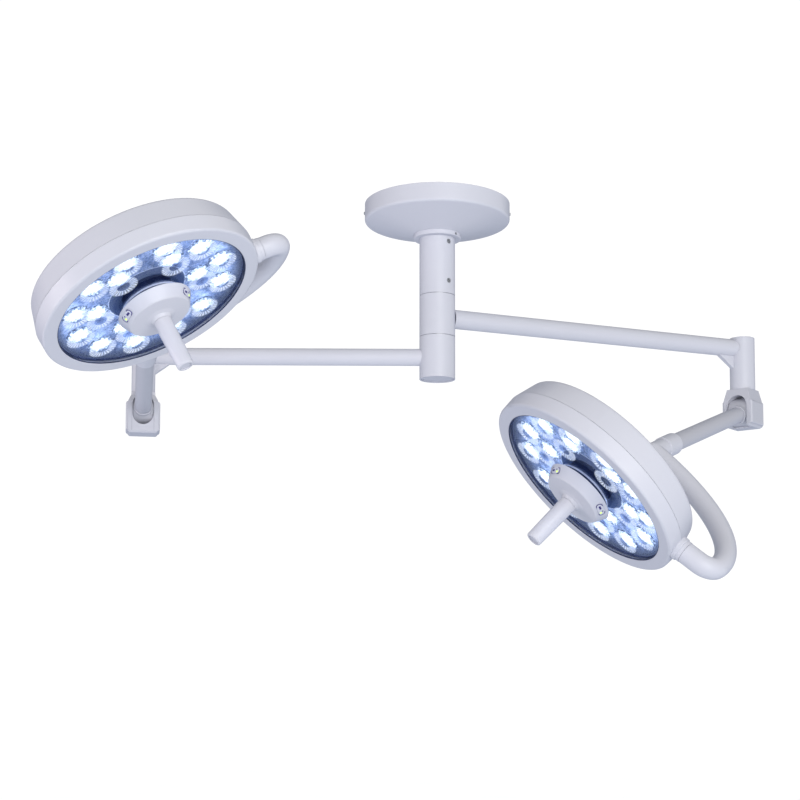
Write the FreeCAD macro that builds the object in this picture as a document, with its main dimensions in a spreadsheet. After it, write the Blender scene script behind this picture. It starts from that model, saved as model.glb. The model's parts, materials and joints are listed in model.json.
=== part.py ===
"""Ceiling-mounted surgical light with two heads on articulated arms.

Frame: +Z up, origin at the centre of the ceiling mounting face, millimetres.
A fixed column hangs from the ceiling.  Two hubs turn on it, and each carries the same chain:
arm, elbow with drop tube, clevis, spring arm, C-shaped yoke, round LED head, pull-off handle.
"""
import FreeCAD, Part
import math
import os
import Sketcher

OUT_DIR = "parts"
X_AXIS = FreeCAD.Vector(1, 0, 0)
Y_AXIS = FreeCAD.Vector(0, 1, 0)
Z_AXIS = FreeCAD.Vector(0, 0, 1)
ORIGIN = FreeCAD.Vector(0, 0, 0)
ALONG_X = FreeCAD.Rotation(Z_AXIS, X_AXIS)
ALONG_Y = FreeCAD.Rotation(Z_AXIS, Y_AXIS)
OVERCUT = 2.0       # how far a cutting tool reaches past the face it opens
RUN_GAP = 0.05      # radial clearance of every running fit

COLUMN = {
    "plate_radius": 150.0, "plate_thickness": 10.0, "plate_bore": 26.0,
    "ceiling_bolt_circle": 120.0, "ceiling_bolt_hole": 6.5, "ceiling_bolt_count": 6,
    "lug_reach": 203.5, "lug_width": 24.0, "lug_thickness": 4.0, "lug_drop": 36.0,
    "lug_overlap": 6.0,
    "canopy_radius": 207.0, "canopy_depth": 50.0, "canopy_fall": 39.0, "canopy_wall": 3.0,
    "canopy_edge": 8.0,
    "canopy_screw_drop": 25.0, "canopy_screw_head": 4.5, "canopy_screw_shank": 2.5,
    "canopy_screw_socket": 1.25,
    "screw_head_height": 3.0, "screw_head_bevel": 1.4,
    "collar_radius": 68.0, "collar_height": 12.0, "collar_edge": 2.5,
    "tube_radius": 50.8, "tube_bore": 44.0, "tube_top": 38.0, "tube_bottom": 265.0,
    "tube_hole_gap": 0.5,
    "flange_radius": 85.0, "flange_thickness": 12.0, "flange_bolt_circle": 68.0,
    "flange_bolt_radius": 5.0, "flange_bolt_head": 9.0, "flange_bolt_count": 4,
    "flange_bolt_head_height": 7.0, "flange_bolt_tip_gap": 2.0,
    "journal_radius": 35.0, "cable_bore": 15.0,
    "washer_radius": 49.0, "washer_thickness": 1.5,
    "upper_hub_bottom": 383.5, "lower_hub_bottom": 505.5,
    "nut_pocket_depth": 25.0, "nut_pocket_radius": 47.0, "nut_radius": 44.0, "nut_height": 11.5,
    "nut_washer_gap": 1.0, "cap_recess": 3.0, "cap_height": 8.0, "cap_plug_height": 20.0,
    "cap_bevel": 1.5,
    "upper_screw_drop": 116.0, "lower_screw_drop": 229.0, "tube_screw_angle": -51.0,
    "tube_screw_head": 7.0, "tube_screw_shank": 4.0, "tube_screw_length": 18.0,
    "tube_screw_seat": 3.0, "tube_screw_sink": 0.6,
    "socket_radius": 3.0, "socket_depth": 4.0,
    "collar_screw_angle": -40.0, "collar_screw_radius": 4.0, "collar_screw_sink": 1.0,
    "collar_screw_socket": 2.1,
    "supply_length": 140.0, "supply_width": 54.0, "supply_height": 30.0, "supply_offset": 90.0,
}

# Lengths of the left light; the right light is the next size up of the same design.
LIGHT = {
    "tube_wall": 4.0, "bush_wall": 3.0, "bush_length": 25.0, "socket_start": 43.0,
    "elbow_floor": 18.0, "elbow_bore": 12.0, "cap_rise": 1.5, "elbow_cap_height": 3.5,
    "elbow_cap_edge": 1.5, "gusset_length": 38.0, "gusset_drop": 27.0, "gusset_thickness": 14.0,
    "gusset_root": 6.0,
    "stub_radius": 20.0, "stub_length": 58.0, "stub_end_gap": 2.0,
    "clevis_half_width": 41.5, "clevis_half_depth": 41.0, "clevis_top": 49.0,
    "clevis_bottom": 67.0, "clevis_neck": 33.0, "neck_drop": 9.0, "shoulder_drop": 27.0,
    "clevis_edge": 5.0,
    "slot_half_width": 28.6, "slot_radius": 39.4, "stub_start": 42.0, "mouth_arch": 14.5,
    "mouth_cup": 14.9, "cover_thickness": 6.0, "cover_margin": 2.0, "cover_edge": 5.5,
    "pin_radius": 9.0, "barrel_radius": 39.0, "barrel_half_width": 28.4, "barrel_edge": 3.0,
    "root_radius": 24.0, "ring_radius": 26.5, "ring_start": 38.0, "ring_end": 46.0,
    "ring_edge": 1.5,
    "spring_tube_radius": 23.0, "spring_tube_bore": 19.0, "spring_tube_start": 36.0,
    "spring_tube_end": 442.0, "journal_block": 70.0, "swivel_radius": 12.0,
    "swivel_head_radius": 17.0, "swivel_head": 4.0, "swivel_reach": 65.0,
    "coil_radius": 14.0, "coil_wire": 2.5, "coil_start": 39.0, "coil_end": 365.0,
    "coil_pitch": 20.0,
    "spring_length": 880.3, "seam": 0.6,
    "yoke_radius": 25.8, "collar_radius": 28.6, "collar_length": 62.0, "collar_edge": 2.5,
    "yoke_reach": 335.0, "yoke_bend": 34.0, "yoke_sag": 302.0,
    "yoke_offset": 119.6, "leg_start": 285.0, "knuckle_ball": 25.8,
    "pivot_radius": 12.0, "pivot_start": 237.0, "pivot_end": 330.0, "pivot_head": 17.0,
    "pivot_head_height": 4.0,
    "head_radius": 266.4, "seam_height": 7.6, "back_radius": 251.5, "back_height": 69.5,
    "back_crown": 74.0, "shell": 3.0, "back_edge": 12.0,
    "spigot_radius": 261.0, "spigot_wall": 3.5, "spigot_drop": 6.0,
    "boss_radius": 29.0, "boss_start": 238.0, "boss_shoulder": 275.0, "boss_end": 284.4,
    "boss_step_radius": 26.5, "boss_edge": 1.5,
    "front_radius": 264.2, "front_height": 31.7, "opening_radius": 230.9, "lip": 3.7,
    "bezel_depth": 11.7, "bezel_wall": 3.6, "bezel_edge": 6.0, "opening_edge": 1.5,
    "glass_radius": 234.0, "glass_thickness": 4.0, "glass_bore": 74.0,
    "glass_gap": 0.5, "notch_gap": 0.5, "notch_margin": 1.0,
    "tray_radius": 228.0, "tray_front": 20.0, "tray_back": 6.0, "tray_inner": 90.0,
    "tray_hub_bore": 62.0, "tray_step": 3.0,
    "inner_ring": 125.0, "outer_ring": 183.0, "inner_count": 6, "outer_count": 12,
    "cup_front_radius": 28.5, "cup_back_radius": 9.0,
    "lens_radius": 29.3, "lens_thickness": 3.5, "lens_land": 21.0, "lens_rim": 2.0,
    "lens_crown": 14.7,
    "led_base_radius": 13.0, "led_base_height": 3.0, "led_radius": 6.0, "led_height": 5.0,
    "led_shoulder": 3.0, "led_tip": 3.0,
    "hub_stem": 58.0, "hub_neck": 73.0, "hub_neck_top": 22.0, "hub_base_radius": 88.8,
    "hub_base_height": 38.9, "hub_skirt_radius": 88.5, "hub_skirt_height": 40.4,
    "hub_front_radius": 75.0, "hub_front_height": 65.5, "hub_edge": 2.5,
    "hub_face_height": 70.0, "hub_face_radius": 36.0, "flare_radius": 26.0, "flare_height": 73.0,
    "handle_root_radius": 21.5, "handle_root_height": 80.0, "post_radius": 9.0,
    "post_end": 150.0, "handle_seam": 0.5, "handle_tip_radius": 19.5, "handle_end": 204.7,
    "handle_edge": 4.5, "handle_recess_radius": 13.5, "handle_recess": 3.0,
    "key_length": 40.0, "key_width": 16.0, "key_corner": 7.5, "key_proud": 0.6,
    "key_depth": 2.6, "key_gap": 0.4, "key_floor": 0.8, "key_height": 53.5,
    "key_wall_overlap": 12.0, "key_block": 30.0,
}
RIGHT_SCALE = 1.107
COUNTS = ("inner_count", "outer_count")
CANOPY_SCREW_ANGLES = (0.0, 90.0, 180.0)

# Lengths that differ between the two arms, and the joint angles of the rest pose.
LEFT_ARM = {
    "arm_height": 442.0, "arm_reach": 830.5, "arm_radius": 24.2, "drop": 156.8,
    "drop_radius": 33.0, "hub_top": 385.0, "hub_bottom": 505.5,
    "arm_angle": 180.0, "knuckle_angle": -80.1, "tilt_angle": 7.7,
    "yoke_angle": 25.4, "head_angle": -8.2, "key_upper_angle": 66.0, "key_lower_angle": -64.0,
}
RIGHT_ARM = {
    "arm_height": 327.0, "arm_reach": 1034.8, "arm_radius": 27.0, "drop": 199.4,
    "drop_radius": 38.5, "hub_top": 266.5, "hub_bottom": 383.5,
    "arm_angle": 22.26, "knuckle_angle": -127.85, "tilt_angle": -18.65,
    "yoke_angle": -41.17, "head_angle": -49.3, "key_upper_angle": 70.0, "key_lower_angle": -50.0,
    "clevis_top": 68.6, "clevis_bottom": 49.5, "neck_drop": 2.0, "shoulder_drop": 36.0,
    "clevis_half_width": 43.4, "mouth_cup": 51.5, "gusset_length": 48.0, "gusset_drop": 37.0,
    "yoke_reach": 396.0,
}


class Size:
    """A length that knows its number and the spreadsheet formula it comes from."""

    def __init__(self, value, formula):
        self.value = float(value)
        self.formula = formula

    def _joined(self, other, symbol, value):
        return Size(value, f"({self.formula} {symbol} {text(other)})")

    def __add__(self, other):
        return self._joined(other, "+", self.value + number(other))

    def __sub__(self, other):
        return self._joined(other, "-", self.value - number(other))

    def __rsub__(self, other):
        return Size(other - self.value, f"({other:g} - {self.formula})")

    def __mul__(self, other):
        return self._joined(other, "*", self.value * number(other))

    def __neg__(self):
        return Size(-self.value, f"(-1 * {self.formula})")


def number(size):
    return size.value if isinstance(size, Size) else float(size)


def text(size):
    return size.formula if isinstance(size, Size) else f"{size:g}"


class Dimensions:
    """A spreadsheet of driving dimensions, read by attribute as Size values."""

    def __init__(self, doc, name, values):
        sheet = doc.addObject("Spreadsheet::Sheet", name)
        self._values = dict(values)
        self._name = name
        for row, (alias, value) in enumerate(values.items(), start=1):
            sheet.set(f"A{row}", alias)
            sheet.set(f"B{row}", f"{value:.4f}")
            sheet.setAlias(f"B{row}", alias)

    def __getattr__(self, alias):
        return Size(self._values[alias], f"{self._name}.{alias}")


class Builder:
    """Makes the document objects of the sub-parts and keeps the finished ones."""

    def __init__(self, doc):
        self.doc = doc
        self.parts = []
        self.made = 0

    def name(self, stem):
        self.made += 1
        return f"{stem}_{self.made}"

    def finish(self, item, label, placement=None):
        """Give a finished sub-part its node name and its place in the assembly."""
        item.Label = label
        item.Placement = (placement or FreeCAD.Placement()) * item.Placement
        self.parts.append(item)
        return item

    def profile(self, body, role, points):
        """Closed sketch through (x, y) points on one of the body's origin planes."""
        sketch = body.newObject("Sketcher::SketchObject", self.name("Profile"))
        planes = [f for f in body.Origin.OriginFeatures if f.Role == role]
        sketch.AttachmentSupport = [(planes[0], "")]
        sketch.MapMode = "FlatFace"
        corners = [FreeCAD.Vector(number(x), number(y), 0) for x, y in points]
        count = len(corners)
        for i, corner in enumerate(corners):
            sketch.addGeometry(Part.LineSegment(corner, corners[(i + 1) % count]))
        for i in range(count):
            sketch.addConstraint(Sketcher.Constraint("Coincident", i, 2, (i + 1) % count, 1))
        for i, point in enumerate(points):
            for kind, axis, size in (("DistanceX", -2, point[0]), ("DistanceY", -1, point[1])):
                pin_coordinate(sketch, kind, axis, i, size)
        return sketch

    def turned(self, points, edges=()):
        """Solid of revolution about Z from (radius, height) points.

        edges lists (radius, height, rounding) of the circular edges to round off.
        """
        body = self.doc.addObject("PartDesign::Body", self.name("Turned"))
        sketch = self.profile(body, "XZ_Plane", points)
        turn = body.newObject("PartDesign::Revolution", self.name("Revolution"))
        turn.Profile = sketch
        turn.ReferenceAxis = (sketch, ["V_Axis"])
        turn.Angle = 360
        sketch.Visibility = False
        self.doc.recompute()
        for radius, height, rounding in edges:
            self.rounded(body, number(radius), number(height), rounding)
        return body

    def rounded(self, body, radius, height, rounding):
        """Fillet the full-circle edges of a body at one radius and height."""
        tip = body.Tip
        names = [f"Edge{i + 1}" for i, edge in enumerate(tip.Shape.Edges)
                 if is_circle_at(edge, radius, height)]
        fillet = body.newObject("PartDesign::Fillet", self.name("Fillet"))
        fillet.Base = (tip, names)
        fillet.setExpression("Radius", text(rounding))
        self.doc.recompute()

    def prism(self, role, points, half_length):
        """Solid from a profile padded the same distance to both sides of its plane."""
        body = self.doc.addObject("PartDesign::Body", self.name("Prism"))
        sketch = self.profile(body, role, points)
        pad = body.newObject("PartDesign::Pad", self.name("Pad"))
        pad.Profile = sketch
        pad.Midplane = True
        pad.setExpression("Length", text(half_length * 2))
        sketch.Visibility = False
        self.doc.recompute()
        return body

    def rod(self, radius, start, end, rotation=None, at=ORIGIN):
        """Cylinder from start to end along its turned Z axis through the point at."""
        rod = self.doc.addObject("Part::Cylinder", self.name("Rod"))
        rod.setExpression("Radius", text(radius))
        rod.setExpression("Height", text(end - start))
        turn = rotation or FreeCAD.Rotation()
        rod.Placement = FreeCAD.Placement(at + turn.multVec(Z_AXIS * number(start)), turn)
        return rod

    def block(self, length, width, height, corner):
        block = self.doc.addObject("Part::Box", self.name("Block"))
        block.setExpression("Length", text(length))
        block.setExpression("Width", text(width))
        block.setExpression("Height", text(height))
        block.Placement.Base = FreeCAD.Vector(*(number(c) for c in corner))
        return block

    def cut(self, base, *tools):
        """Base less all the tools."""
        for tool in tools:
            cut = self.doc.addObject("Part::Cut", self.name("Cut"))
            cut.Base = base
            cut.Tool = tool
            base = cut
        return base

    def fuse(self, *items):
        fuse = self.doc.addObject("Part::MultiFuse", self.name("Fuse"))
        fuse.Shapes = list(items)
        fuse.Refine = True
        return fuse

    def common(self, first, second):
        common = self.doc.addObject("Part::Common", self.name("Common"))
        common.Base = first
        common.Tool = second
        return common

    def copies(self, item, placements):
        """Group of identical solids: the item repeated at each placement."""
        self.doc.recompute()
        group = self.doc.addObject("Part::Feature", self.name("Group"))
        solids = []
        for placement in placements:
            solid = item.Shape.copy()
            solid.Placement = placement * solid.Placement
            solids.append(solid)
        group.Shape = Part.makeCompound(solids)
        return group


def pin_coordinate(sketch, kind, axis, index, size):
    """Tie one coordinate of a line's start point to a size, or to an axis when it is zero."""
    if not isinstance(size, Size):
        sketch.addConstraint(Sketcher.Constraint("PointOnObject", index, 1, axis))
        return
    pin = sketch.addConstraint(Sketcher.Constraint(kind, -1, 1, index, 1, size.value))
    sketch.setExpression(f"Constraints[{pin}]", size.formula)


def is_circle_at(edge, radius, height):
    tolerance = 0.01
    curve = edge.Curve
    if not isinstance(curve, Part.Circle):
        return False
    return abs(curve.Radius - radius) < tolerance and abs(edge.BoundBox.ZMin - height) < tolerance


def around(count, radius, height=0.0, start=0.0):
    """Placements evenly spaced round the Z axis, each turned to face outwards."""
    placements = []
    for i in range(int(number(count))):
        turn = FreeCAD.Rotation(Z_AXIS, start + 360.0 * i / number(count))
        base = turn.multVec(FreeCAD.Vector(number(radius), 0, number(height)))
        placements.append(FreeCAD.Placement(base, turn))
    return placements


def lens_places(d, height):
    """Centres of the lenses: an inner and an outer ring, the inner one aligned with the pivot."""
    inner = around(d.inner_count, d.inner_ring, height, start=90.0)
    half_step = 180.0 / number(d.outer_count)
    return inner + around(d.outer_count, d.outer_ring, height, start=90.0 + half_step)


# ---------------------------------------------------------------- column

def build_ceiling_plate(b, c):
    disc = b.turned([(c.plate_bore, 0), (c.plate_radius, 0),
                     (c.plate_radius, -c.plate_thickness), (c.plate_bore, -c.plate_thickness)])
    reach = b.block(c.lug_reach - c.plate_radius + c.lug_overlap, c.lug_width, c.lug_thickness,
                    (c.plate_radius - c.lug_overlap, c.lug_width * -0.5, -c.lug_thickness))
    tab = b.block(c.lug_thickness, c.lug_width, c.lug_drop,
                  (c.lug_reach - c.lug_thickness, c.lug_width * -0.5, -c.lug_drop))
    thread = b.rod(c.canopy_screw_shank, c.lug_reach - c.lug_thickness * 2,
                   c.lug_reach + OVERCUT, ALONG_X, Z_AXIS * -number(c.canopy_screw_drop))
    lug = b.cut(b.fuse(reach, tab), thread)
    lugs = b.copies(lug, canopy_screw_places())
    bolt_hole = b.rod(c.ceiling_bolt_hole, -c.plate_thickness - OVERCUT, c.plate_thickness)
    bolt_holes = b.copies(bolt_hole, around(c.ceiling_bolt_count, c.ceiling_bolt_circle, start=30.0))
    thread_hole = b.rod(c.flange_bolt_radius, -c.plate_thickness - OVERCUT, c.plate_thickness)
    thread_holes = b.copies(thread_hole, around(c.flange_bolt_count, c.flange_bolt_circle, start=45.0))
    b.finish(b.cut(b.fuse(disc, lugs), bolt_holes, thread_holes), "ceiling_plate")


def canopy_screw_places():
    """One screw on each side of the column and one behind it."""
    return [FreeCAD.Placement(ORIGIN, FreeCAD.Rotation(Z_AXIS, angle)) for angle in CANOPY_SCREW_ANGLES]


def build_canopy(b, c):
    inner = c.canopy_radius - c.canopy_wall
    hole = c.tube_radius + c.tube_hole_gap
    low = c.canopy_depth + c.canopy_fall
    dish = b.turned([(inner, 0), (c.canopy_radius, 0), (c.canopy_radius, -c.canopy_depth),
                     (c.collar_radius, -low), (hole, -low), (hole, c.canopy_wall - low),
                     (c.collar_radius, c.canopy_wall - low), (inner, c.canopy_wall - c.canopy_depth)],
                    [(c.canopy_radius, -c.canopy_depth, c.canopy_edge)])
    hole_tool = b.rod(c.canopy_screw_shank, inner - OVERCUT, c.canopy_radius + OVERCUT, ALONG_X,
                      Z_AXIS * -number(c.canopy_screw_drop))
    holes = b.copies(hole_tool, canopy_screw_places())
    b.finish(b.cut(dish, holes), "canopy")


def build_canopy_screws(b, c):
    """Socket screws with bevelled heads that hold the canopy to the lugs."""
    tip = c.lug_reach - c.lug_thickness
    face = c.canopy_radius + c.screw_head_height
    rim = face - c.screw_head_bevel
    screw = b.turned([(0, tip), (c.canopy_screw_shank, tip),
                      (c.canopy_screw_shank, c.canopy_radius), (c.canopy_screw_head, c.canopy_radius),
                      (c.canopy_screw_head, rim), (c.canopy_screw_head - c.screw_head_bevel, face),
                      (c.canopy_screw_socket, face), (c.canopy_screw_socket, rim), (0, rim)])
    screw.Placement = FreeCAD.Placement(Z_AXIS * -number(c.canopy_screw_drop), ALONG_X)
    b.finish(b.copies(screw, canopy_screw_places()), "canopy_screws")


def build_column_tube(b, c):
    inner = c.tube_bore + RUN_GAP
    tube = b.turned([(inner, -c.tube_top), (c.tube_radius, -c.tube_top),
                     (c.tube_radius, -c.tube_bottom), (inner, -c.tube_bottom)])
    heads = [column_screw_space(b, c, drop) for drop in (c.upper_screw_drop, c.lower_screw_drop)]
    b.finish(b.cut(tube, *heads), "down_tube")
    low = c.canopy_depth + c.canopy_fall
    collar = b.turned([(c.tube_radius, -low), (c.collar_radius, -low),
                       (c.collar_radius, -low - c.collar_height),
                       (c.tube_radius, -low - c.collar_height)],
                      [(c.collar_radius, -low - c.collar_height, c.collar_edge)])
    set_screw_space = b.rod(c.collar_screw_radius, c.tube_radius, c.collar_radius + OVERCUT,
                            radial(c.collar_screw_angle), collar_screw_height(c))
    b.finish(b.cut(collar, set_screw_space), "canopy_collar")


def radial(angle):
    """Rotation that lays the Z axis along a horizontal direction."""
    return FreeCAD.Rotation(Z_AXIS, number(angle)) * ALONG_X


def collar_screw_height(c):
    return Z_AXIS * -(number(c.canopy_depth) + number(c.canopy_fall) + number(c.collar_height) / 2)


def column_screw_space(b, c, drop):
    head = b.rod(c.tube_screw_head, c.tube_radius - c.tube_screw_seat, c.tube_radius + OVERCUT,
                 radial(c.tube_screw_angle), Z_AXIS * -number(drop))
    shank = b.rod(c.tube_screw_shank, c.tube_radius - c.tube_screw_length, c.tube_radius,
                  radial(c.tube_screw_angle), Z_AXIS * -number(drop))
    return b.fuse(head, shank)


def build_column_screws(b, c):
    """Two countersunk socket screws through the tube, and the set screw of the collar."""
    start = c.tube_radius - c.tube_screw_length
    seat = c.tube_radius - c.tube_screw_seat
    face = c.tube_radius - c.tube_screw_sink
    screw = b.turned([(0, start), (c.tube_screw_shank, start), (c.tube_screw_shank, seat),
                      (c.tube_screw_head, seat), (c.tube_screw_head, face), (c.socket_radius, face),
                      (c.socket_radius, face - c.socket_depth), (0, face - c.socket_depth)])
    places = [FreeCAD.Placement(Z_AXIS * -number(drop), radial(c.tube_screw_angle))
              for drop in (c.upper_screw_drop, c.lower_screw_drop)]
    pair = b.copies(screw, places)
    tip = c.collar_radius - c.collar_screw_sink
    set_screw = b.turned([(0, c.tube_radius), (c.collar_screw_radius, c.tube_radius),
                          (c.collar_screw_radius, tip), (c.collar_screw_socket, tip),
                          (c.collar_screw_socket, tip - c.socket_depth), (0, tip - c.socket_depth)])
    set_place = FreeCAD.Placement(collar_screw_height(c), radial(c.collar_screw_angle))
    group = b.doc.addObject("Part::Compound", "ColumnScrews")
    group.Links = [pair, b.copies(set_screw, [set_place])]
    b.finish(group, "column_screws")


def nut_top(c):
    """Height (downwards) at which the lowest thrust washer lies on the nut."""
    return c.lower_hub_bottom - c.nut_pocket_depth + c.washer_thickness


def build_spindle(b, c):
    top = c.plate_thickness
    below_flange = top + c.flange_thickness
    end = nut_top(c) + c.nut_height
    shaft = b.turned([(c.cable_bore, -top), (c.flange_radius, -top), (c.flange_radius, -below_flange),
                      (c.tube_bore, -below_flange), (c.tube_bore, -c.tube_bottom),
                      (c.journal_radius, -c.tube_bottom), (c.journal_radius, -end), (c.cable_bore, -end)])
    bolt_hole = b.rod(c.flange_bolt_radius, -below_flange - OVERCUT, -top + OVERCUT)
    bolt_holes = b.copies(bolt_hole, around(c.flange_bolt_count, c.flange_bolt_circle, start=45.0))
    threads = [b.rod(c.tube_screw_shank, c.tube_radius - c.tube_screw_length, c.tube_radius,
                     radial(c.tube_screw_angle), Z_AXIS * -number(drop))
               for drop in (c.upper_screw_drop, c.lower_screw_drop)]
    b.finish(b.cut(shaft, bolt_holes, *threads), "spindle")


def build_flange_bolts(b, c):
    below_flange = c.plate_thickness + c.flange_thickness
    foot = below_flange + c.flange_bolt_head_height
    tip = -c.flange_bolt_tip_gap
    bolt = b.turned([(0, tip), (c.flange_bolt_radius, tip), (c.flange_bolt_radius, -below_flange),
                     (c.flange_bolt_head, -below_flange), (c.flange_bolt_head, -foot), (0, -foot)])
    b.finish(b.copies(bolt, around(c.flange_bolt_count, c.flange_bolt_circle, start=45.0)), "flange_bolts")


def build_thrust_washers(b, c):
    bore = c.journal_radius + RUN_GAP
    tops = (c.tube_bottom, c.upper_hub_bottom)
    rings = [b.turned([(bore, -top), (c.washer_radius, -top), (c.washer_radius, -top - c.washer_thickness),
                       (bore, -top - c.washer_thickness)]) for top in tops]
    low = nut_top(c)
    small = c.nut_pocket_radius - c.nut_washer_gap
    rings.append(b.turned([(bore, c.washer_thickness - low), (small, c.washer_thickness - low),
                           (small, -low), (bore, -low)]))
    group = b.doc.addObject("Part::Compound", "ThrustWashers")
    group.Links = rings
    b.finish(group, "thrust_washers")


def build_column_end(b, c):
    top = nut_top(c)
    nut = b.turned([(c.journal_radius, -top), (c.nut_radius, -top), (c.nut_radius, -top - c.nut_height),
                    (c.journal_radius, -top - c.nut_height)])
    b.finish(nut, "retaining_nut")
    face = c.lower_hub_bottom - c.cap_recess
    rim = c.nut_pocket_radius - RUN_GAP * 2
    plug_top = c.cap_plug_height - face
    cap_top = c.cap_height - face
    cap = b.turned([(0, plug_top), (c.cable_bore, plug_top), (c.cable_bore, cap_top), (rim, cap_top),
                    (rim, c.cap_bevel - face), (rim - c.cap_bevel, -face), (0, -face)])
    b.finish(cap, "end_cap")


def build_power_supplies(b, c):
    box = b.block(c.supply_width, c.supply_length, c.supply_height,
                  (c.supply_offset, c.supply_length * -0.5, -c.plate_thickness - c.supply_height))
    b.finish(b.copies(box, around(2, 0)), "power_supplies")


# ---------------------------------------------------------------- one light

class Frames:
    """Placements of one light's links, chained through its joint angles."""

    def __init__(self, d):
        knuckle_turn = number(d.knuckle_angle) - number(d.arm_angle)
        self.arm = hinge(Z_AXIS, d.arm_angle, (0, 0, -d.arm_height))
        self.knuckle = self.arm * hinge(Z_AXIS, knuckle_turn, (d.arm_reach, 0, -d.drop))
        self.spring = self.knuckle * hinge(Y_AXIS, -d.tilt_angle)
        self.yoke = self.spring * hinge(X_AXIS, d.yoke_angle, (d.spring_length, 0, 0))
        self.head = self.yoke * hinge(Y_AXIS, d.head_angle)


def hinge(axis, angle, base=(0, 0, 0)):
    origin = FreeCAD.Vector(*(number(v) for v in base))
    return FreeCAD.Placement(origin, FreeCAD.Rotation(axis, number(angle)))


def build_hub(b, c, d, side, frame):
    """Hub ring of the arm, its heights measured from the arm axis."""
    top = d.arm_height - d.hub_top
    bottom = d.arm_height - d.hub_bottom
    bore = c.journal_radius + RUN_GAP + d.bush_wall
    pocket = side == "left"
    if pocket:
        step = bottom + c.nut_pocket_depth
        foot = [(c.nut_pocket_radius, bottom), (c.nut_pocket_radius, step), (bore, step)]
    else:
        step = bottom
        foot = [(bore, bottom)]
    ring = b.turned([(bore, top), (c.tube_radius, top), (c.tube_radius, bottom)] + foot)
    socket = b.rod(d.arm_radius, d.socket_start, d.socket_start * 2, ALONG_X)
    b.finish(b.cut(ring, socket), f"hub_{side}", frame)
    inner = c.journal_radius + RUN_GAP
    starts = (top - d.bush_length, step)
    bushes = [b.turned([(inner, z), (bore, z), (bore, z + d.bush_length), (inner, z + d.bush_length)])
              for z in starts]
    group = b.doc.addObject("Part::Compound", b.name("HubBushes"))
    group.Links = bushes
    b.finish(group, f"hub_bushes_{side}", frame)


def build_arm(b, d, side, frame):
    inner = d.arm_radius - d.tube_wall
    end = d.arm_reach - d.elbow_floor
    tube = b.turned([(inner, d.socket_start), (d.arm_radius, d.socket_start),
                     (d.arm_radius, end), (inner, end)])
    b.finish(tube, f"arm_tube_{side}", frame * FreeCAD.Placement(ORIGIN, ALONG_X))
    at_elbow = frame * hinge(Z_AXIS, 0, (d.arm_reach, 0, 0))
    b.finish(elbow_shape(b, d), f"elbow_{side}", at_elbow)
    low = d.arm_radius + d.cap_rise
    cap = b.turned([(0, low), (d.drop_radius, low), (d.drop_radius, low + d.elbow_cap_height),
                    (0, low + d.elbow_cap_height)],
                   [(d.drop_radius, low + d.elbow_cap_height, d.elbow_cap_edge)])
    b.finish(cap, f"elbow_cap_{side}", at_elbow)


def elbow_shape(b, d):
    """Drop tube with the socket of the arm and the gusset under it, about the drop axis."""
    foot = d.clevis_top - d.drop
    bore = d.stub_radius + RUN_GAP
    bore_end = foot + d.stub_length + d.stub_end_gap
    top = d.arm_radius + d.cap_rise
    tube = b.turned([(bore, foot), (d.drop_radius, foot), (d.drop_radius, top), (d.elbow_bore, top),
                     (d.elbow_bore, bore_end), (bore, bore_end)])
    gusset = b.prism("XZ_Plane",
                     [(-d.drop_radius - d.gusset_length, -d.arm_radius + d.gusset_root),
                      (-d.drop_radius + d.gusset_root, -d.arm_radius + d.gusset_root),
                      (-d.drop_radius + d.gusset_root, -d.arm_radius - d.gusset_drop),
                      (-d.drop_radius, -d.arm_radius - d.gusset_drop),
                      (-d.drop_radius - d.gusset_length, -d.arm_radius)],
                     d.gusset_thickness * 0.5)
    socket = b.rod(d.arm_radius, -d.drop_radius * 3, -d.elbow_floor, ALONG_X)
    return b.cut(b.fuse(tube, gusset), socket)


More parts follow.
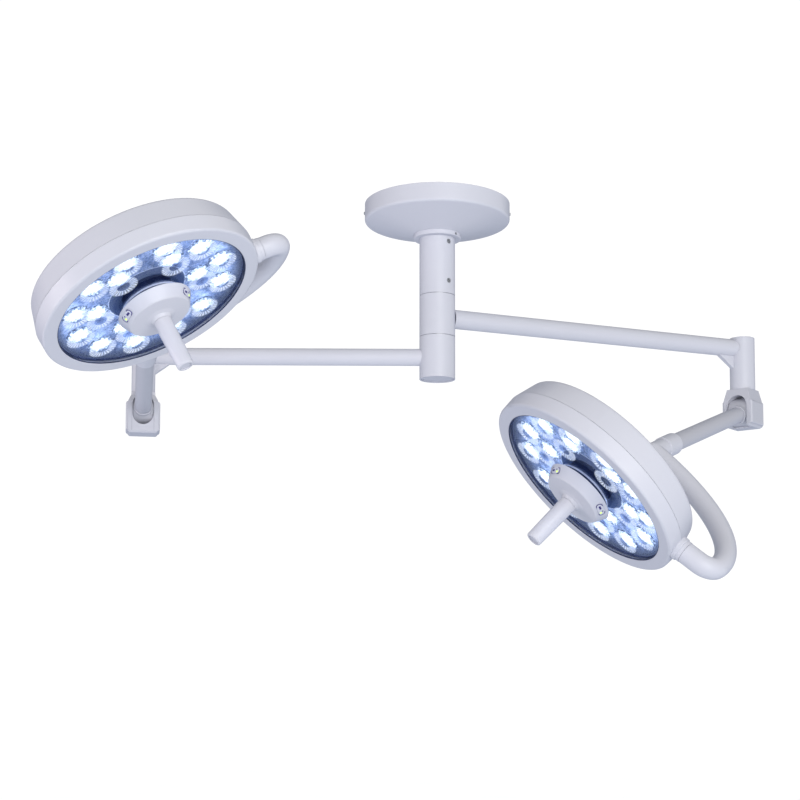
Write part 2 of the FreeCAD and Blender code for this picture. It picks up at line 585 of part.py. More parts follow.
def build_clevis(b, d, side, frame):
    front = b.prism("YZ_Plane",
                    [(-d.clevis_half_width, -d.clevis_bottom + d.clevis_edge),
                     (-d.clevis_half_width + d.clevis_edge, -d.clevis_bottom),
                     (d.clevis_half_width - d.clevis_edge, -d.clevis_bottom),
                     (d.clevis_half_width, -d.clevis_bottom + d.clevis_edge),
                     (d.clevis_half_width, d.clevis_top - d.shoulder_drop),
                     (d.clevis_neck, d.clevis_top - d.neck_drop), (d.clevis_neck, d.clevis_top),
                     (-d.clevis_neck, d.clevis_top), (-d.clevis_neck, d.clevis_top - d.neck_drop),
                     (-d.clevis_half_width, d.clevis_top - d.shoulder_drop)],
                    d.clevis_half_depth)
    flank = b.prism("XZ_Plane",
                    [(-d.clevis_half_depth, -d.clevis_bottom + d.clevis_edge),
                     (-d.clevis_half_depth + d.clevis_edge, -d.clevis_bottom),
                     (d.clevis_half_depth - d.clevis_edge, -d.clevis_bottom),
                     (d.clevis_half_depth, -d.clevis_bottom + d.clevis_edge),
                     (d.clevis_half_depth, d.clevis_top - d.shoulder_drop),
                     (d.clevis_neck, d.clevis_top - d.neck_drop), (d.clevis_neck, d.clevis_top),
                     (-d.clevis_neck, d.clevis_top), (-d.clevis_neck, d.clevis_top - d.neck_drop),
                     (-d.clevis_half_depth, d.clevis_top - d.shoulder_drop)],
                    d.clevis_half_width)
    stub = b.rod(d.stub_radius, d.stub_start, d.clevis_top + d.stub_length)
    cavity = b.rod(d.slot_radius, -d.slot_half_width, d.slot_half_width, ALONG_Y)
    mouth = b.block(d.clevis_half_depth + OVERCUT, d.slot_half_width * 2,
                    d.mouth_arch + d.mouth_cup, (0, -d.slot_half_width, -d.mouth_cup))
    arch = b.rod(d.slot_half_width, 0, d.clevis_half_depth + OVERCUT, ALONG_X,
                 Z_AXIS * number(d.mouth_arch))
    cup = b.rod(d.slot_half_width, 0, d.clevis_half_depth + OVERCUT, ALONG_X,
                Z_AXIS * -number(d.mouth_cup))
    pin_bore = b.rod(d.pin_radius, -d.clevis_half_width - OVERCUT, d.clevis_half_width + OVERCUT,
                     ALONG_Y)
    housing = b.cut(b.fuse(b.common(front, flank), stub), cavity, mouth, arch, cup, pin_bore)
    b.finish(housing, f"clevis_{side}", frame)
    b.finish(b.rod(d.pin_radius, -d.clevis_half_width, d.clevis_half_width, ALONG_Y),
             f"hinge_pin_{side}", frame)
    build_clevis_covers(b, d, side, frame)


def build_clevis_covers(b, d, side, frame):
    """Rounded plates screwed on both flanks of the clevis over the pin ends."""
    reach = d.clevis_half_depth - d.cover_margin
    low = -d.clevis_bottom + d.cover_margin + d.clevis_edge
    high = d.clevis_top - d.shoulder_drop - d.cover_margin
    plate = b.block(reach * 2, d.cover_thickness, high - low, (-reach, d.clevis_half_width, low))
    b.doc.recompute()
    outer = number(d.clevis_half_width) + number(d.cover_thickness)
    rims = [i + 1 for i, edge in enumerate(plate.Shape.Edges)
            if edge.BoundBox.YMin > outer - 0.1]
    soft = b.doc.addObject("Part::Fillet", b.name("CoverEdges"))
    soft.Base = plate
    soft.Edges = [(i, number(d.cover_edge), number(d.cover_edge)) for i in rims]
    half_turn = FreeCAD.Placement(ORIGIN, FreeCAD.Rotation(Z_AXIS, 180))
    b.finish(b.copies(soft, [FreeCAD.Placement(), half_turn]), f"clevis_covers_{side}", frame)


def build_spring_arm(b, d, side, frame):
    barrel = b.turned([(0, -d.barrel_half_width), (d.barrel_radius, -d.barrel_half_width),
                       (d.barrel_radius, d.barrel_half_width), (0, d.barrel_half_width)],
                      [(d.barrel_radius, -d.barrel_half_width, d.barrel_edge),
                       (d.barrel_radius, d.barrel_half_width, d.barrel_edge)])
    barrel.Placement.Rotation = ALONG_Y
    root = b.turned([(0, 0), (d.root_radius, 0), (d.root_radius, d.ring_start),
                     (d.ring_radius, d.ring_start), (d.ring_radius, d.ring_end), (0, d.ring_end)],
                    [(d.ring_radius, d.ring_end, d.ring_edge)])
    root.Placement.Rotation = ALONG_X
    bore = b.rod(d.pin_radius + RUN_GAP, -d.barrel_half_width - OVERCUT,
                 d.barrel_half_width + OVERCUT, ALONG_Y)
    socket = b.rod(d.spring_tube_radius, d.spring_tube_start, d.ring_end + OVERCUT, ALONG_X)
    b.finish(b.cut(b.fuse(barrel, root), bore, socket), f"hinge_barrel_{side}", frame)

    along = frame * FreeCAD.Placement(ORIGIN, ALONG_X)
    journal = d.swivel_radius + RUN_GAP
    block_start = d.spring_tube_end - d.journal_block
    tube = b.turned([(d.spring_tube_bore, d.spring_tube_start), (d.spring_tube_radius, d.spring_tube_start),
                     (d.spring_tube_radius, d.spring_tube_end), (journal, d.spring_tube_end),
                     (journal, block_start), (d.spring_tube_bore, block_start)])
    b.finish(tube, f"spring_arm_{side}", along)
    b.finish(coil_shape(b, d), f"counterbalance_spring_{side}", along)


def coil_shape(b, d):
    helix = b.doc.addObject("Part::Helix", b.name("Helix"))
    helix.setExpression("Pitch", text(d.coil_pitch))
    helix.setExpression("Height", text(d.coil_end - d.coil_start))
    helix.setExpression("Radius", text(d.coil_radius))
    wire = b.doc.addObject("Part::Circle", b.name("Wire"))
    wire.setExpression("Radius", text(d.coil_wire))
    wire.Placement = FreeCAD.Placement(X_AXIS * number(d.coil_radius), ALONG_Y)
    coil = b.doc.addObject("Part::Sweep", b.name("Coil"))
    coil.Sections = [wire]
    coil.Spine = (helix, ["Edge1"])
    coil.Solid = True
    coil.Frenet = True
    b.doc.recompute()
    lifted = FreeCAD.Placement(Z_AXIS * number(d.coil_start), FreeCAD.Rotation())
    coil.Placement = lifted
    return coil


def build_yoke(b, d, side, frame):
    """C-shaped tube in the XY plane: Y is the head pivot axis, X points away from the clevis."""
    leg = b.rod(d.yoke_radius, d.leg_start, d.yoke_reach - d.yoke_bend, ALONG_Y)
    corner = b.doc.addObject("Part::Torus", b.name("Corner"))
    corner.setExpression("Radius1", text(d.yoke_bend))
    corner.setExpression("Radius2", text(d.yoke_radius))
    corner.Angle3 = 90
    corner.Placement.Base = FreeCAD.Vector(-number(d.yoke_bend), number(d.yoke_reach - d.yoke_bend), 0)
    meet = yoke_meeting_point(d)
    sphere = b.doc.addObject("Part::Sphere", b.name("Knuckle"))
    sphere.setExpression("Radius", text(d.knuckle_ball))
    sphere.Placement.Base = FreeCAD.Vector(meet, 0, 0)
    collar_start = d.spring_tube_end + d.seam - d.spring_length
    collar_length = Size(meet, f"{meet:.4f}") - collar_start
    collar = b.rod(d.yoke_radius, collar_start, collar_start + collar_length, ALONG_X)
    sleeve = b.turned([(0, collar_start), (d.collar_radius, collar_start),
                       (d.collar_radius, collar_start + d.collar_length),
                       (0, collar_start + d.collar_length)],
                      [(d.collar_radius, collar_start, d.collar_edge),
                       (d.collar_radius, collar_start + d.collar_length, d.collar_edge)])
    sleeve.Placement.Rotation = ALONG_X
    swivel_bore = b.rod(d.swivel_radius, collar_start - OVERCUT, collar_start + d.swivel_reach, ALONG_X)
    pivot_bore = b.rod(d.pivot_radius, d.leg_start - OVERCUT, d.pivot_end, ALONG_Y)
    tube = b.fuse(leg, corner, yoke_arc(b, d), sphere, collar, sleeve)
    b.finish(b.cut(tube, swivel_bore, pivot_bore), f"yoke_{side}", frame)

    block_start = d.spring_tube_end - d.journal_block - d.spring_length
    head_start = block_start - d.swivel_head
    swivel_end = collar_start + d.swivel_reach
    spindle = b.turned([(0, head_start), (d.swivel_head_radius, head_start),
                        (d.swivel_head_radius, block_start), (d.swivel_radius, block_start),
                        (d.swivel_radius, swivel_end), (0, swivel_end)])
    b.finish(spindle, f"swivel_spindle_{side}", frame * FreeCAD.Placement(ORIGIN, ALONG_X))
    pivot_foot = d.pivot_start - d.pivot_head_height
    pivot = b.turned([(0, pivot_foot), (d.pivot_head, pivot_foot), (d.pivot_head, d.pivot_start),
                      (d.pivot_radius, d.pivot_start), (d.pivot_radius, d.pivot_end), (0, d.pivot_end)])
    b.finish(pivot, f"pivot_spindle_{side}", frame * FreeCAD.Placement(ORIGIN, ALONG_Y))


def yoke_sweep_angle(d):
    """Angle of the elliptic arc at which it crosses the spring arm axis."""
    return math.acos(number(d.yoke_offset) / (number(d.yoke_reach) + number(d.yoke_offset)))


def yoke_meeting_point(d):
    return -number(d.yoke_bend) - number(d.yoke_sag) * math.sin(yoke_sweep_angle(d))


def yoke_arc(b, d):
    """Elliptic sweep from the outer bend round the back of the head to the spring arm axis."""
    centre = FreeCAD.Vector(-number(d.yoke_bend), -number(d.yoke_offset), 0)
    path = b.doc.addObject("Part::Ellipse", b.name("Path"))
    path.setExpression("MajorRadius", text(d.yoke_reach + d.yoke_offset))
    path.setExpression("MinorRadius", text(d.yoke_sag))
    path.Angle1 = 0
    path.Angle2 = math.degrees(yoke_sweep_angle(d))
    path.Placement = FreeCAD.Placement(centre, FreeCAD.Rotation(Z_AXIS, 90))
    section = b.doc.addObject("Part::Circle", b.name("Section"))
    section.setExpression("Radius", text(d.yoke_radius))
    start = FreeCAD.Vector(-number(d.yoke_bend), number(d.yoke_reach), 0)
    section.Placement = FreeCAD.Placement(start, ALONG_X)
    arc = b.doc.addObject("Part::Sweep", b.name("Arc"))
    arc.Sections = [section]
    arc.Spine = (path, ["Edge1"])
    arc.Solid = True
    arc.Frenet = False
    return arc


def build_rear_housing(b, d, side, frame):
    """Shell behind the seam with the spigot that centres the bezel and the pivot boss."""
    seam = d.seam_height
    outer = b.turned([(0, d.back_crown), (d.back_radius, d.back_height), (d.head_radius, seam),
                      (d.spigot_radius, seam), (d.spigot_radius, seam - d.spigot_drop),
                      (d.spigot_radius - d.spigot_wall, seam - d.spigot_drop),
                      (d.spigot_radius - d.spigot_wall, seam + d.shell),
                      (d.back_radius - d.shell, d.back_height - d.shell),
                      (0, d.back_crown - d.shell)],
                     [(d.back_radius, d.back_height, d.back_edge)])
    boss = b.turned([(0, d.boss_start), (d.boss_radius, d.boss_start),
                     (d.boss_radius, d.boss_shoulder), (d.boss_step_radius, d.boss_shoulder),
                     (d.boss_step_radius, d.boss_end), (0, d.boss_end)],
                    [(d.boss_radius, d.boss_shoulder, d.boss_edge)])
    boss.Placement.Rotation = ALONG_Y
    bore = b.rod(d.pivot_radius + RUN_GAP, d.boss_start - OVERCUT, d.boss_end + OVERCUT, ALONG_Y)
    b.finish(b.cut(b.fuse(outer, boss), bore), f"rear_housing_{side}", frame)


def build_front_bezel(b, d, side, frame):
    top = d.seam_height - d.seam
    shelf = d.lip - d.front_height
    back = d.bezel_depth - d.front_height
    seat = d.glass_radius + d.glass_gap
    ring = b.turned([(d.head_radius - d.bezel_wall, top), (d.head_radius, top),
                     (d.front_radius, -d.front_height), (d.opening_radius, -d.front_height),
                     (d.opening_radius, shelf), (seat, shelf), (seat, back),
                     (d.front_radius - d.bezel_wall, back)],
                    [(d.front_radius, -d.front_height, d.bezel_edge),
                     (d.opening_radius, -d.front_height, d.opening_edge)])
    notch = b.rod(d.boss_radius + d.notch_gap, d.boss_start - d.notch_margin, d.boss_end + OVERCUT,
                  ALONG_Y)
    b.finish(b.cut(ring, notch), f"front_bezel_{side}", frame)
    glass_back = shelf + d.glass_thickness
    glass = b.turned([(d.glass_bore, shelf), (d.glass_radius, shelf),
                      (d.glass_radius, glass_back), (d.glass_bore, glass_back)])
    b.finish(glass, f"window_{side}", frame)


def build_optics(b, d, side, frame):
    tray = b.turned([(d.tray_hub_bore, d.tray_back), (d.tray_radius, d.tray_back),
                     (d.tray_radius, -d.tray_front), (d.tray_inner, -d.tray_front),
                     (d.tray_inner, -d.tray_step), (d.tray_hub_bore, -d.tray_step)])
    cup = b.doc.addObject("Part::Cone", b.name("Cup"))
    cup.setExpression("Radius1", text(d.cup_front_radius))
    cup.setExpression("Radius2", text(d.cup_back_radius))
    cup.setExpression("Height", text(d.tray_front + d.tray_back))
    cups = b.copies(cup, lens_places(d, -d.tray_front))
    b.finish(b.cut(tray, cups), f"reflector_{side}", frame)

    lens = b.turned([(0, 0), (d.lens_radius, 0), (d.lens_radius, -d.lens_rim), (d.lens_land, -d.lens_rim),
                     (d.lens_crown, -d.lens_thickness), (0, -d.lens_thickness)])
    b.finish(b.copies(lens, lens_places(d, -d.tray_front)), f"lenses_{side}", frame)

    led = b.turned([(0, d.led_base_height), (d.led_base_radius, d.led_base_height),
                    (d.led_base_radius, 0), (d.led_radius, 0), (d.led_radius, -d.led_shoulder),
                    (d.led_tip, -d.led_height), (0, -d.led_height)])
    b.finish(b.copies(led, lens_places(d, d.tray_back)), f"leds_{side}", frame)


def build_control_hub(b, d, side, frame):
    hub = b.turned([(0, d.tray_back), (d.hub_stem, d.tray_back), (d.hub_stem, -d.hub_neck_top),
                    (d.hub_neck, -d.hub_neck_top), (d.hub_neck, -d.hub_base_height),
                    (d.hub_base_radius, -d.hub_base_height), (d.hub_skirt_radius, -d.hub_skirt_height),
                    (d.hub_front_radius, -d.hub_front_height),
                    (d.hub_front_radius - d.hub_edge, -d.hub_front_height - d.hub_edge),
                    (d.hub_face_radius, -d.hub_face_height), (d.flare_radius, -d.flare_height),
                    (d.handle_root_radius, -d.handle_root_height), (d.post_radius, -d.handle_root_height),
                    (d.post_radius, -d.post_end), (0, -d.post_end)])
    spaces = [key_solid(b, d, angle, d.key_gap, d.key_depth + d.key_floor, OVERCUT)
              for angle in (d.key_upper_angle, d.key_lower_angle)]
    b.finish(b.cut(hub, *spaces), f"control_hub_{side}", frame)
    for name, angle in (("key_upper", d.key_upper_angle), ("key_lower", d.key_lower_angle)):
        b.finish(key_solid(b, d, angle, 0, d.key_depth, d.key_proud), f"{name}_{side}", frame)


def key_slope(d):
    """Angle by which the side wall of the hub leans, from the Z axis."""
    run = number(d.hub_skirt_radius) - number(d.hub_front_radius)
    rise = number(d.hub_front_height) - number(d.hub_skirt_height)
    return math.atan2(run, rise)


def key_frame(d, angle):
    """Placement on the hub wall: local Z is the outward normal, local Y runs round the hub."""
    slope = key_slope(d)
    below_skirt = number(d.key_height) - number(d.hub_skirt_height)
    radius = number(d.hub_skirt_radius) - below_skirt * math.tan(slope)
    turn = FreeCAD.Rotation(Z_AXIS, number(angle)) * FreeCAD.Rotation(Y_AXIS, 90 + math.degrees(slope))
    base = FreeCAD.Rotation(Z_AXIS, number(angle)).multVec(FreeCAD.Vector(radius, 0, -number(d.key_height)))
    return FreeCAD.Placement(base, turn)


def key_wall(b, d, depth, proud):
    """Ring that follows the hub's sloping wall, from depth below it to proud above it."""
    slope = key_slope(d)
    normal = FreeCAD.Vector(math.cos(slope), 0, -math.sin(slope))
    down = FreeCAD.Vector(-math.sin(slope), 0, -math.cos(slope))
    skirt = FreeCAD.Vector(number(d.hub_skirt_radius), 0, -number(d.hub_skirt_height))
    top = skirt - down * number(d.key_wall_overlap)
    end = skirt + down * number(d.hub_front_height - d.hub_skirt_height + d.key_wall_overlap)
    inside, outside = normal * -number(depth), normal * number(proud)
    corners = [top + inside, end + inside, end + outside, top + outside, top + inside]
    ring = b.doc.addObject("Part::Feature", b.name("KeyWall"))
    ring.Shape = Part.Face(Part.makePolygon(corners)).revolve(ORIGIN, Z_AXIS, 360)
    return ring


def key_solid(b, d, angle, gap, depth, proud):
    """Rounded pad of the hub wall, from depth below the wall to proud above it."""
    width = d.key_width + gap * 2
    length = d.key_length + gap * 2
    pad = b.block(width, length, d.key_block, (0, 0, 0))
    b.doc.recompute()
    uprights = [i + 1 for i, edge in enumerate(pad.Shape.Edges)
                if edge.BoundBox.ZLength > edge.BoundBox.XLength + edge.BoundBox.YLength]
    soft = b.doc.addObject("Part::Fillet", b.name("PadCorners"))
    soft.Base = pad
    corner = number(d.key_corner)
    soft.Edges = [(i, corner, corner) for i in uprights]
    centre = FreeCAD.Vector(number(width), number(length), number(d.key_block)) * -0.5
    soft.Placement = key_frame(d, angle) * FreeCAD.Placement(centre, FreeCAD.Rotation())
    return b.common(soft, key_wall(b, d, depth, proud))


def build_handle(b, d, side, frame):
    root = d.handle_root_height + d.handle_seam
    bore = d.post_radius + RUN_GAP
    recess = d.handle_recess - d.handle_end
    bore_end = -d.post_end - d.handle_seam
    handle = b.turned([(bore, -root), (d.handle_root_radius, -root),
                       (d.handle_tip_radius, -d.handle_end), (d.handle_recess_radius, -d.handle_end),
                       (d.handle_recess_radius, recess), (0, recess), (0, bore_end), (bore, bore_end)],
                      [(d.handle_tip_radius, -d.handle_end, d.handle_edge)])
    b.finish(handle, f"handle_{side}", frame)


def build_light(b, c, d, side):
    frames = Frames(d)
    build_hub(b, c, d, side, frames.arm)
    build_arm(b, d, side, frames.arm)
    build_clevis(b, d, side, frames.knuckle)
    build_spring_arm(b, d, side, frames.spring)
    build_yoke(b, d, side, frames.yoke)
    build_rear_housing(b, d, side, frames.head)
    build_front_bezel(b, d, side, frames.head)
    build_optics(b, d, side, frames.head)
    build_control_hub(b, d, side, frames.head)
    build_handle(b, d, side, frames.head)


def scaled(values, factor):
    return {name: value if name in COUNTS else value * factor for name, value in values.items()}


def check_and_export(b):
    b.doc.recompute()
    for item in b.doc.Objects:
        if any(state in ("Invalid", "Error") for state in item.State):
            raise RuntimeError(f"{item.Name} ({item.Label}) did not build: {item.State}")
    for item in b.parts:
        if item.Shape.isNull() or not item.Shape.isValid() or item.Shape.Volume <= 0:
            raise RuntimeError(f"{item.Label} has no valid shape")
        item.Shape.exportStep(os.path.join(OUT_DIR, f"{item.Label}.step"))


def main():
    os.makedirs(OUT_DIR, exist_ok=True)
    doc = FreeCAD.newDocument("SurgicalLight")
    builder = Builder(doc)
    column = Dimensions(doc, "Column", COLUMN)
    left = Dimensions(doc, "LeftLight", {**LIGHT, **LEFT_ARM})
    right = Dimensions(doc, "RightLight", {**scaled(LIGHT, RIGHT_SCALE), **RIGHT_ARM})
    doc.recompute()
    for build in (build_ceiling_plate, build_canopy, build_canopy_screws, build_column_tube,
                  build_column_screws, build_spindle, build_flange_bolts, build_thrust_washers,
                  build_column_end, build_power_supplies):
        build(builder, column)
    build_light(builder, column, left, "left")
    build_light(builder, column, right, "right")
    check_and_export(builder)


main()
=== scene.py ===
"""Looks of a ceiling-mounted surgical light with two LED heads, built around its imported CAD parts.

Lengths are in metres in the row frame.  Shapes of one head are built in its own frame (origin on
the tilt axis, Y along that axis, -Z the way the light shines) in millimetres of the left light,
and are placed by the frame's joints, so the larger right light comes out at its own scale.
"""
import json
import math
import random

import bpy
from mathutils import Matrix, Vector


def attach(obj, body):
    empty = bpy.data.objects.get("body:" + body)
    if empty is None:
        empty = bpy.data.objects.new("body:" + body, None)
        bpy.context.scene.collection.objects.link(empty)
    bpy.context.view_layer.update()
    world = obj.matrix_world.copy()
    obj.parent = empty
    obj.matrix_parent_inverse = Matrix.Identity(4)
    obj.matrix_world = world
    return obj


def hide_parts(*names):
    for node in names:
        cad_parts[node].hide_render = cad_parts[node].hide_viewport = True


SIDES = ("left", "right")
MM = 0.001
SEED = 7

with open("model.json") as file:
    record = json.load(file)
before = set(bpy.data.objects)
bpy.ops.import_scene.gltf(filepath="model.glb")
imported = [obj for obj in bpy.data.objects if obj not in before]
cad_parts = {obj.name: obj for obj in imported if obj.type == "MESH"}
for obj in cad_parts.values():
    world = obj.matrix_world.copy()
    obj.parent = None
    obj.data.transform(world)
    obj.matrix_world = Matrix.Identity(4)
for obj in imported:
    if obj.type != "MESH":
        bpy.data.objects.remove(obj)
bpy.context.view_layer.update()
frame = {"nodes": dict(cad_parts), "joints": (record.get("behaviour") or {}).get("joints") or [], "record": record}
joints = {joint["name"]: joint for joint in frame["joints"]}
nodes = frame["nodes"]


# ------------------------------------------------------------------ places of the heads

def head_matrix(side):
    """Head frame to row frame, unscaled: from the tilt axis and the handle's pull direction."""
    tilt = joints[f"head_tilt_{side}"]
    y = Vector(tilt["axis"]).normalized()
    z = -Vector(joints[f"handle_pull_{side}"]["axis"]).normalized()
    x = y.cross(z).normalized()
    matrix = Matrix((x, y, z)).transposed().to_4x4()
    matrix.translation = Vector(tilt["pos_m"])
    return matrix


def local_points(node, matrix):
    """Vertices of a CAD node in the frame that a matrix places."""
    inverse = matrix.inverted()
    return [inverse @ vertex.co for vertex in nodes[node].data.vertices]


def glass_radius(side):
    """Radius of a head's cover glass as packed, in metres."""
    return max(point.x for point in local_points(f"window_{side}", head_matrix(side)))


GLASS_RADIUS = 234.0    # of the left light, the size the head details below are drawn for
MATRIX = {side: head_matrix(side) for side in SIDES}
SCALE = {side: glass_radius(side) / (GLASS_RADIUS * MM) for side in SIDES}
PLACE = {side: MATRIX[side] @ Matrix.Scale(SCALE[side] * MM, 4) for side in SIDES}


# ------------------------------------------------------------------ node helpers

MIX_FIRST_COLOUR, MIX_SECOND_COLOUR, MIX_COLOUR_RESULT = 6, 7, 2    # sockets of a colour Mix node
OPEN_FACE, WORN_EDGE = 0.995, 0.86    # how far the bevelled normal agrees with the true one
BEVEL_SAMPLES = 4


class Nodes:
    """Shader node tree of one material, with short calls for the nodes used here."""

    def __init__(self, name):
        self.material = bpy.data.materials.new(name)
        self.material.use_nodes = True
        self.tree = self.material.node_tree
        self.tree.nodes.clear()
        self.output = self.tree.nodes.new("ShaderNodeOutputMaterial")
        self.place = self.tree.nodes.new("ShaderNodeTexCoord").outputs["Object"]

    def add(self, kind, inputs=None, **settings):
        node = self.tree.nodes.new(kind)
        for key, value in settings.items():
            setattr(node, key, value)
        for key, value in (inputs or {}).items():
            self.set(node.inputs[key], value)
        return node

    def set(self, socket, value):
        if isinstance(value, bpy.types.NodeSocket):
            self.tree.links.new(value, socket)
        else:
            socket.default_value = value

    def surface(self, shader):
        self.set(self.output.inputs["Surface"], shader)
        return self.material

    def noise(self, scale, detail=3.0, roughness=0.55, vector=None):
        inputs = {"Vector": vector or self.place, "Scale": scale, "Detail": detail,
                  "Roughness": roughness}
        return self.add("ShaderNodeTexNoise", inputs).outputs["Fac"]

    def ramp(self, value, *stops):
        """Colour ramp through (position, colour or grey) stops."""
        node = self.add("ShaderNodeValToRGB", {"Fac": value})
        elements = node.color_ramp.elements
        while len(elements) < len(stops):
            elements.new(0.5)
        for element, (position, colour) in zip(elements, stops):
            element.position = position
            element.color = rgba(colour)
        return node.outputs["Color"]

    def span(self, value, low, high, start=0.0, end=1.0):
        inputs = {"Value": value, "From Min": start, "From Max": end, "To Min": low, "To Max": high}
        return self.add("ShaderNodeMapRange", inputs).outputs["Result"]

    def math(self, operation, first, second=0.0):
        node = self.add("ShaderNodeMath", operation=operation)
        self.set(node.inputs[0], first)
        self.set(node.inputs[1], second)
        return node.outputs["Value"]

    def mix(self, factor, first, second):
        node = self.add("ShaderNodeMix", data_type="RGBA")
        self.set(node.inputs["Factor"], factor)
        for socket, value in ((MIX_FIRST_COLOUR, first), (MIX_SECOND_COLOUR, second)):
            self.set(node.inputs[socket], rgba(value) if is_colour(value) else value)
        return node.outputs[MIX_COLOUR_RESULT]

    def bump(self, height, distance, strength=1.0, normal=None):
        inputs = {"Height": height, "Distance": distance, "Strength": strength}
        if normal is not None:
            inputs["Normal"] = normal
        return self.add("ShaderNodeBump", inputs).outputs["Normal"]

    def soft_edges(self, radius):
        return self.add("ShaderNodeBevel", {"Radius": radius},
                        samples=BEVEL_SAMPLES).outputs["Normal"]

    def edge_mask(self, radius):
        """One on outer edges and corners, zero on open faces."""
        normal = self.add("ShaderNodeNewGeometry").outputs["Normal"]
        turn = self.add("ShaderNodeVectorMath", {0: normal, 1: self.soft_edges(radius)},
                        operation="DOT_PRODUCT").outputs["Value"]
        return self.span(turn, 1.0, 0.0, WORN_EDGE, OPEN_FACE)

    def attribute(self, name):
        return self.add("ShaderNodeAttribute", attribute_name=name).outputs["Fac"]

    def principled(self, **inputs):
        named = {key.replace("_", " "): value for key, value in inputs.items()}
        return self.add("ShaderNodeBsdfPrincipled", named).outputs["BSDF"]

    def blend(self, factor, first, second):
        node = self.add("ShaderNodeMixShader", {"Fac": factor})
        self.set(node.inputs[1], first)
        self.set(node.inputs[2], second)
        return node.outputs["Shader"]


def is_colour(value):
    return isinstance(value, (tuple, float))


def tinted(colour, factor):
    """Colour made darker or paler, kept within white."""
    return tuple(min(1.0, channel * factor) for channel in colour)


def rgba(colour):
    """Colour or grey as Blender's four channels."""
    if isinstance(colour, (int, float)):
        return (colour, colour, colour, 1.0)
    return (*colour, 1.0)


# ------------------------------------------------------------------ materials

GRAZING_SHADE = (0.33, 0.36, 0.46)    # painted shade for paint seen almost edge-on
DISH_SEAMS = 36.0
SHADE_RADIUS = 93.0     # the control hub darkens the dish up to here
RIM_RADIUS = 95.0       # end of the painted highlight line just outside it
DISH_EDGE = 206.0       # where painted shade starts on the dish at its rolled edge
FACET_SCALE = 150.0     # cells per metre in the lamp bowls


def paint(name, colour, roughness, peel=0.00012, edge=0.0012):
    """Sprayed enamel: orange peel, cloudiness, smudges, edges paler from wear and a painted highlight, and painted
    shade where seen at a glance.
    """
    n = Nodes(name)
    cloud = n.noise(3.5, 4.0)
    smudge = n.noise(14.0, 6.0, 0.65)
    fleck = n.noise(900.0, 2.0)
    tone = n.ramp(cloud, (0.3, tinted(colour, 0.975)), (0.7, colour))
    tone = n.mix(n.span(smudge, 0.0, 0.10, 0.50, 0.80), tone, tinted(colour, 0.90))
    tone = n.mix(n.span(fleck, 0.0, 0.10, 0.70, 0.80), tone, tinted(colour, 0.90))
    # edges made paler: wear along with a painted edge highlight
    tone = n.mix(n.math("MULTIPLY", n.edge_mask(edge), 0.45), tone, tinted(colour, 1.22))
    facing = n.add("ShaderNodeLayerWeight", {"Blend": 0.5}).outputs["Facing"]
    # painted shade where the paint is seen at a glance
    tone = n.mix(n.span(facing, 0.0, 0.62, 0.55, 1.0), tone, GRAZING_SHADE)
    gloss = n.span(smudge, roughness - 0.05, roughness + 0.10, 0.35, 0.7)
    skin = n.bump(n.noise(420.0, 2.0), peel, 0.6, n.soft_edges(edge))
    skin = n.bump(n.noise(2400.0, 1.0), peel * 0.15, 0.5, skin)
    return n.surface(n.principled(Base_Color=tone, Roughness=gloss, Normal=skin,
                                  Coat_Weight=0.12, Coat_Roughness=0.22))


def metal(name, colour, roughness, stretch=(1.0, 1.0, 60.0), bump=0.00006):
    """Turned or brushed metal with drawn-out tool marks and light tarnish."""
    n = Nodes(name)
    drawn = n.add("ShaderNodeMapping", {"Vector": n.place, "Scale": stretch}).outputs["Vector"]
    marks = n.noise(90.0, 4.0, 0.6, drawn)
    tarnish = n.noise(18.0, 5.0, 0.6)
    tone = n.ramp(tarnish, (0.3, tinted(colour, 0.72)), (0.65, colour))
    tone = n.mix(n.math("MULTIPLY", n.edge_mask(0.0008), 0.5), tone, tinted(colour, 1.3))
    gloss = n.span(marks, roughness - 0.08, roughness + 0.14, 0.3, 0.7)
    skin = n.bump(marks, bump, 0.7, n.soft_edges(0.0006))
    return n.surface(n.principled(Base_Color=tone, Metallic=1.0, Roughness=gloss, Normal=skin))


def seal(name, colour):
    """Dark elastomer or anodised band, also used for print and painted shade: matt, with fine grain and paler
    rubbed spots.
    """
    n = Nodes(name)
    grain = n.noise(1600.0, 3.0)
    rub = n.noise(40.0, 5.0)
    tone = n.ramp(rub, (0.35, colour), (0.75, tinted(colour, 1.7)))
    gloss = n.span(rub, 0.45, 0.65)
    skin = n.bump(grain, 0.00005, 0.6, n.soft_edges(0.0004))
    return n.surface(n.principled(Base_Color=tone, Roughness=gloss, Normal=skin,
                                  Specular_IOR_Level=0.25))


def cover_glass():
    """Thin clear cover: mostly seen through, with a bluish sheen and faint wipe marks."""
    n = Nodes("cover_glass")
    wipe = n.noise(22.0, 6.0, 0.7)
    facing = n.add("ShaderNodeLayerWeight", {"Blend": 0.22}).outputs["Fresnel"]
    sheen = n.add("ShaderNodeBsdfGlossy", {
        "Color": rgba((0.62, 0.74, 1.0)), "Roughness": n.span(wipe, 0.02, 0.10),
        "Normal": n.bump(wipe, 0.0001, 0.15)}).outputs["BSDF"]
    clear = n.add("ShaderNodeBsdfTransparent", {
        "Color": n.ramp(wipe, (0.35, (0.97, 0.98, 1.0)), (0.75, (0.92, 0.95, 1.0)))}).outputs["BSDF"]
    return n.surface(n.blend(n.math("MULTIPLY", facing, 0.18), clear, sheen))


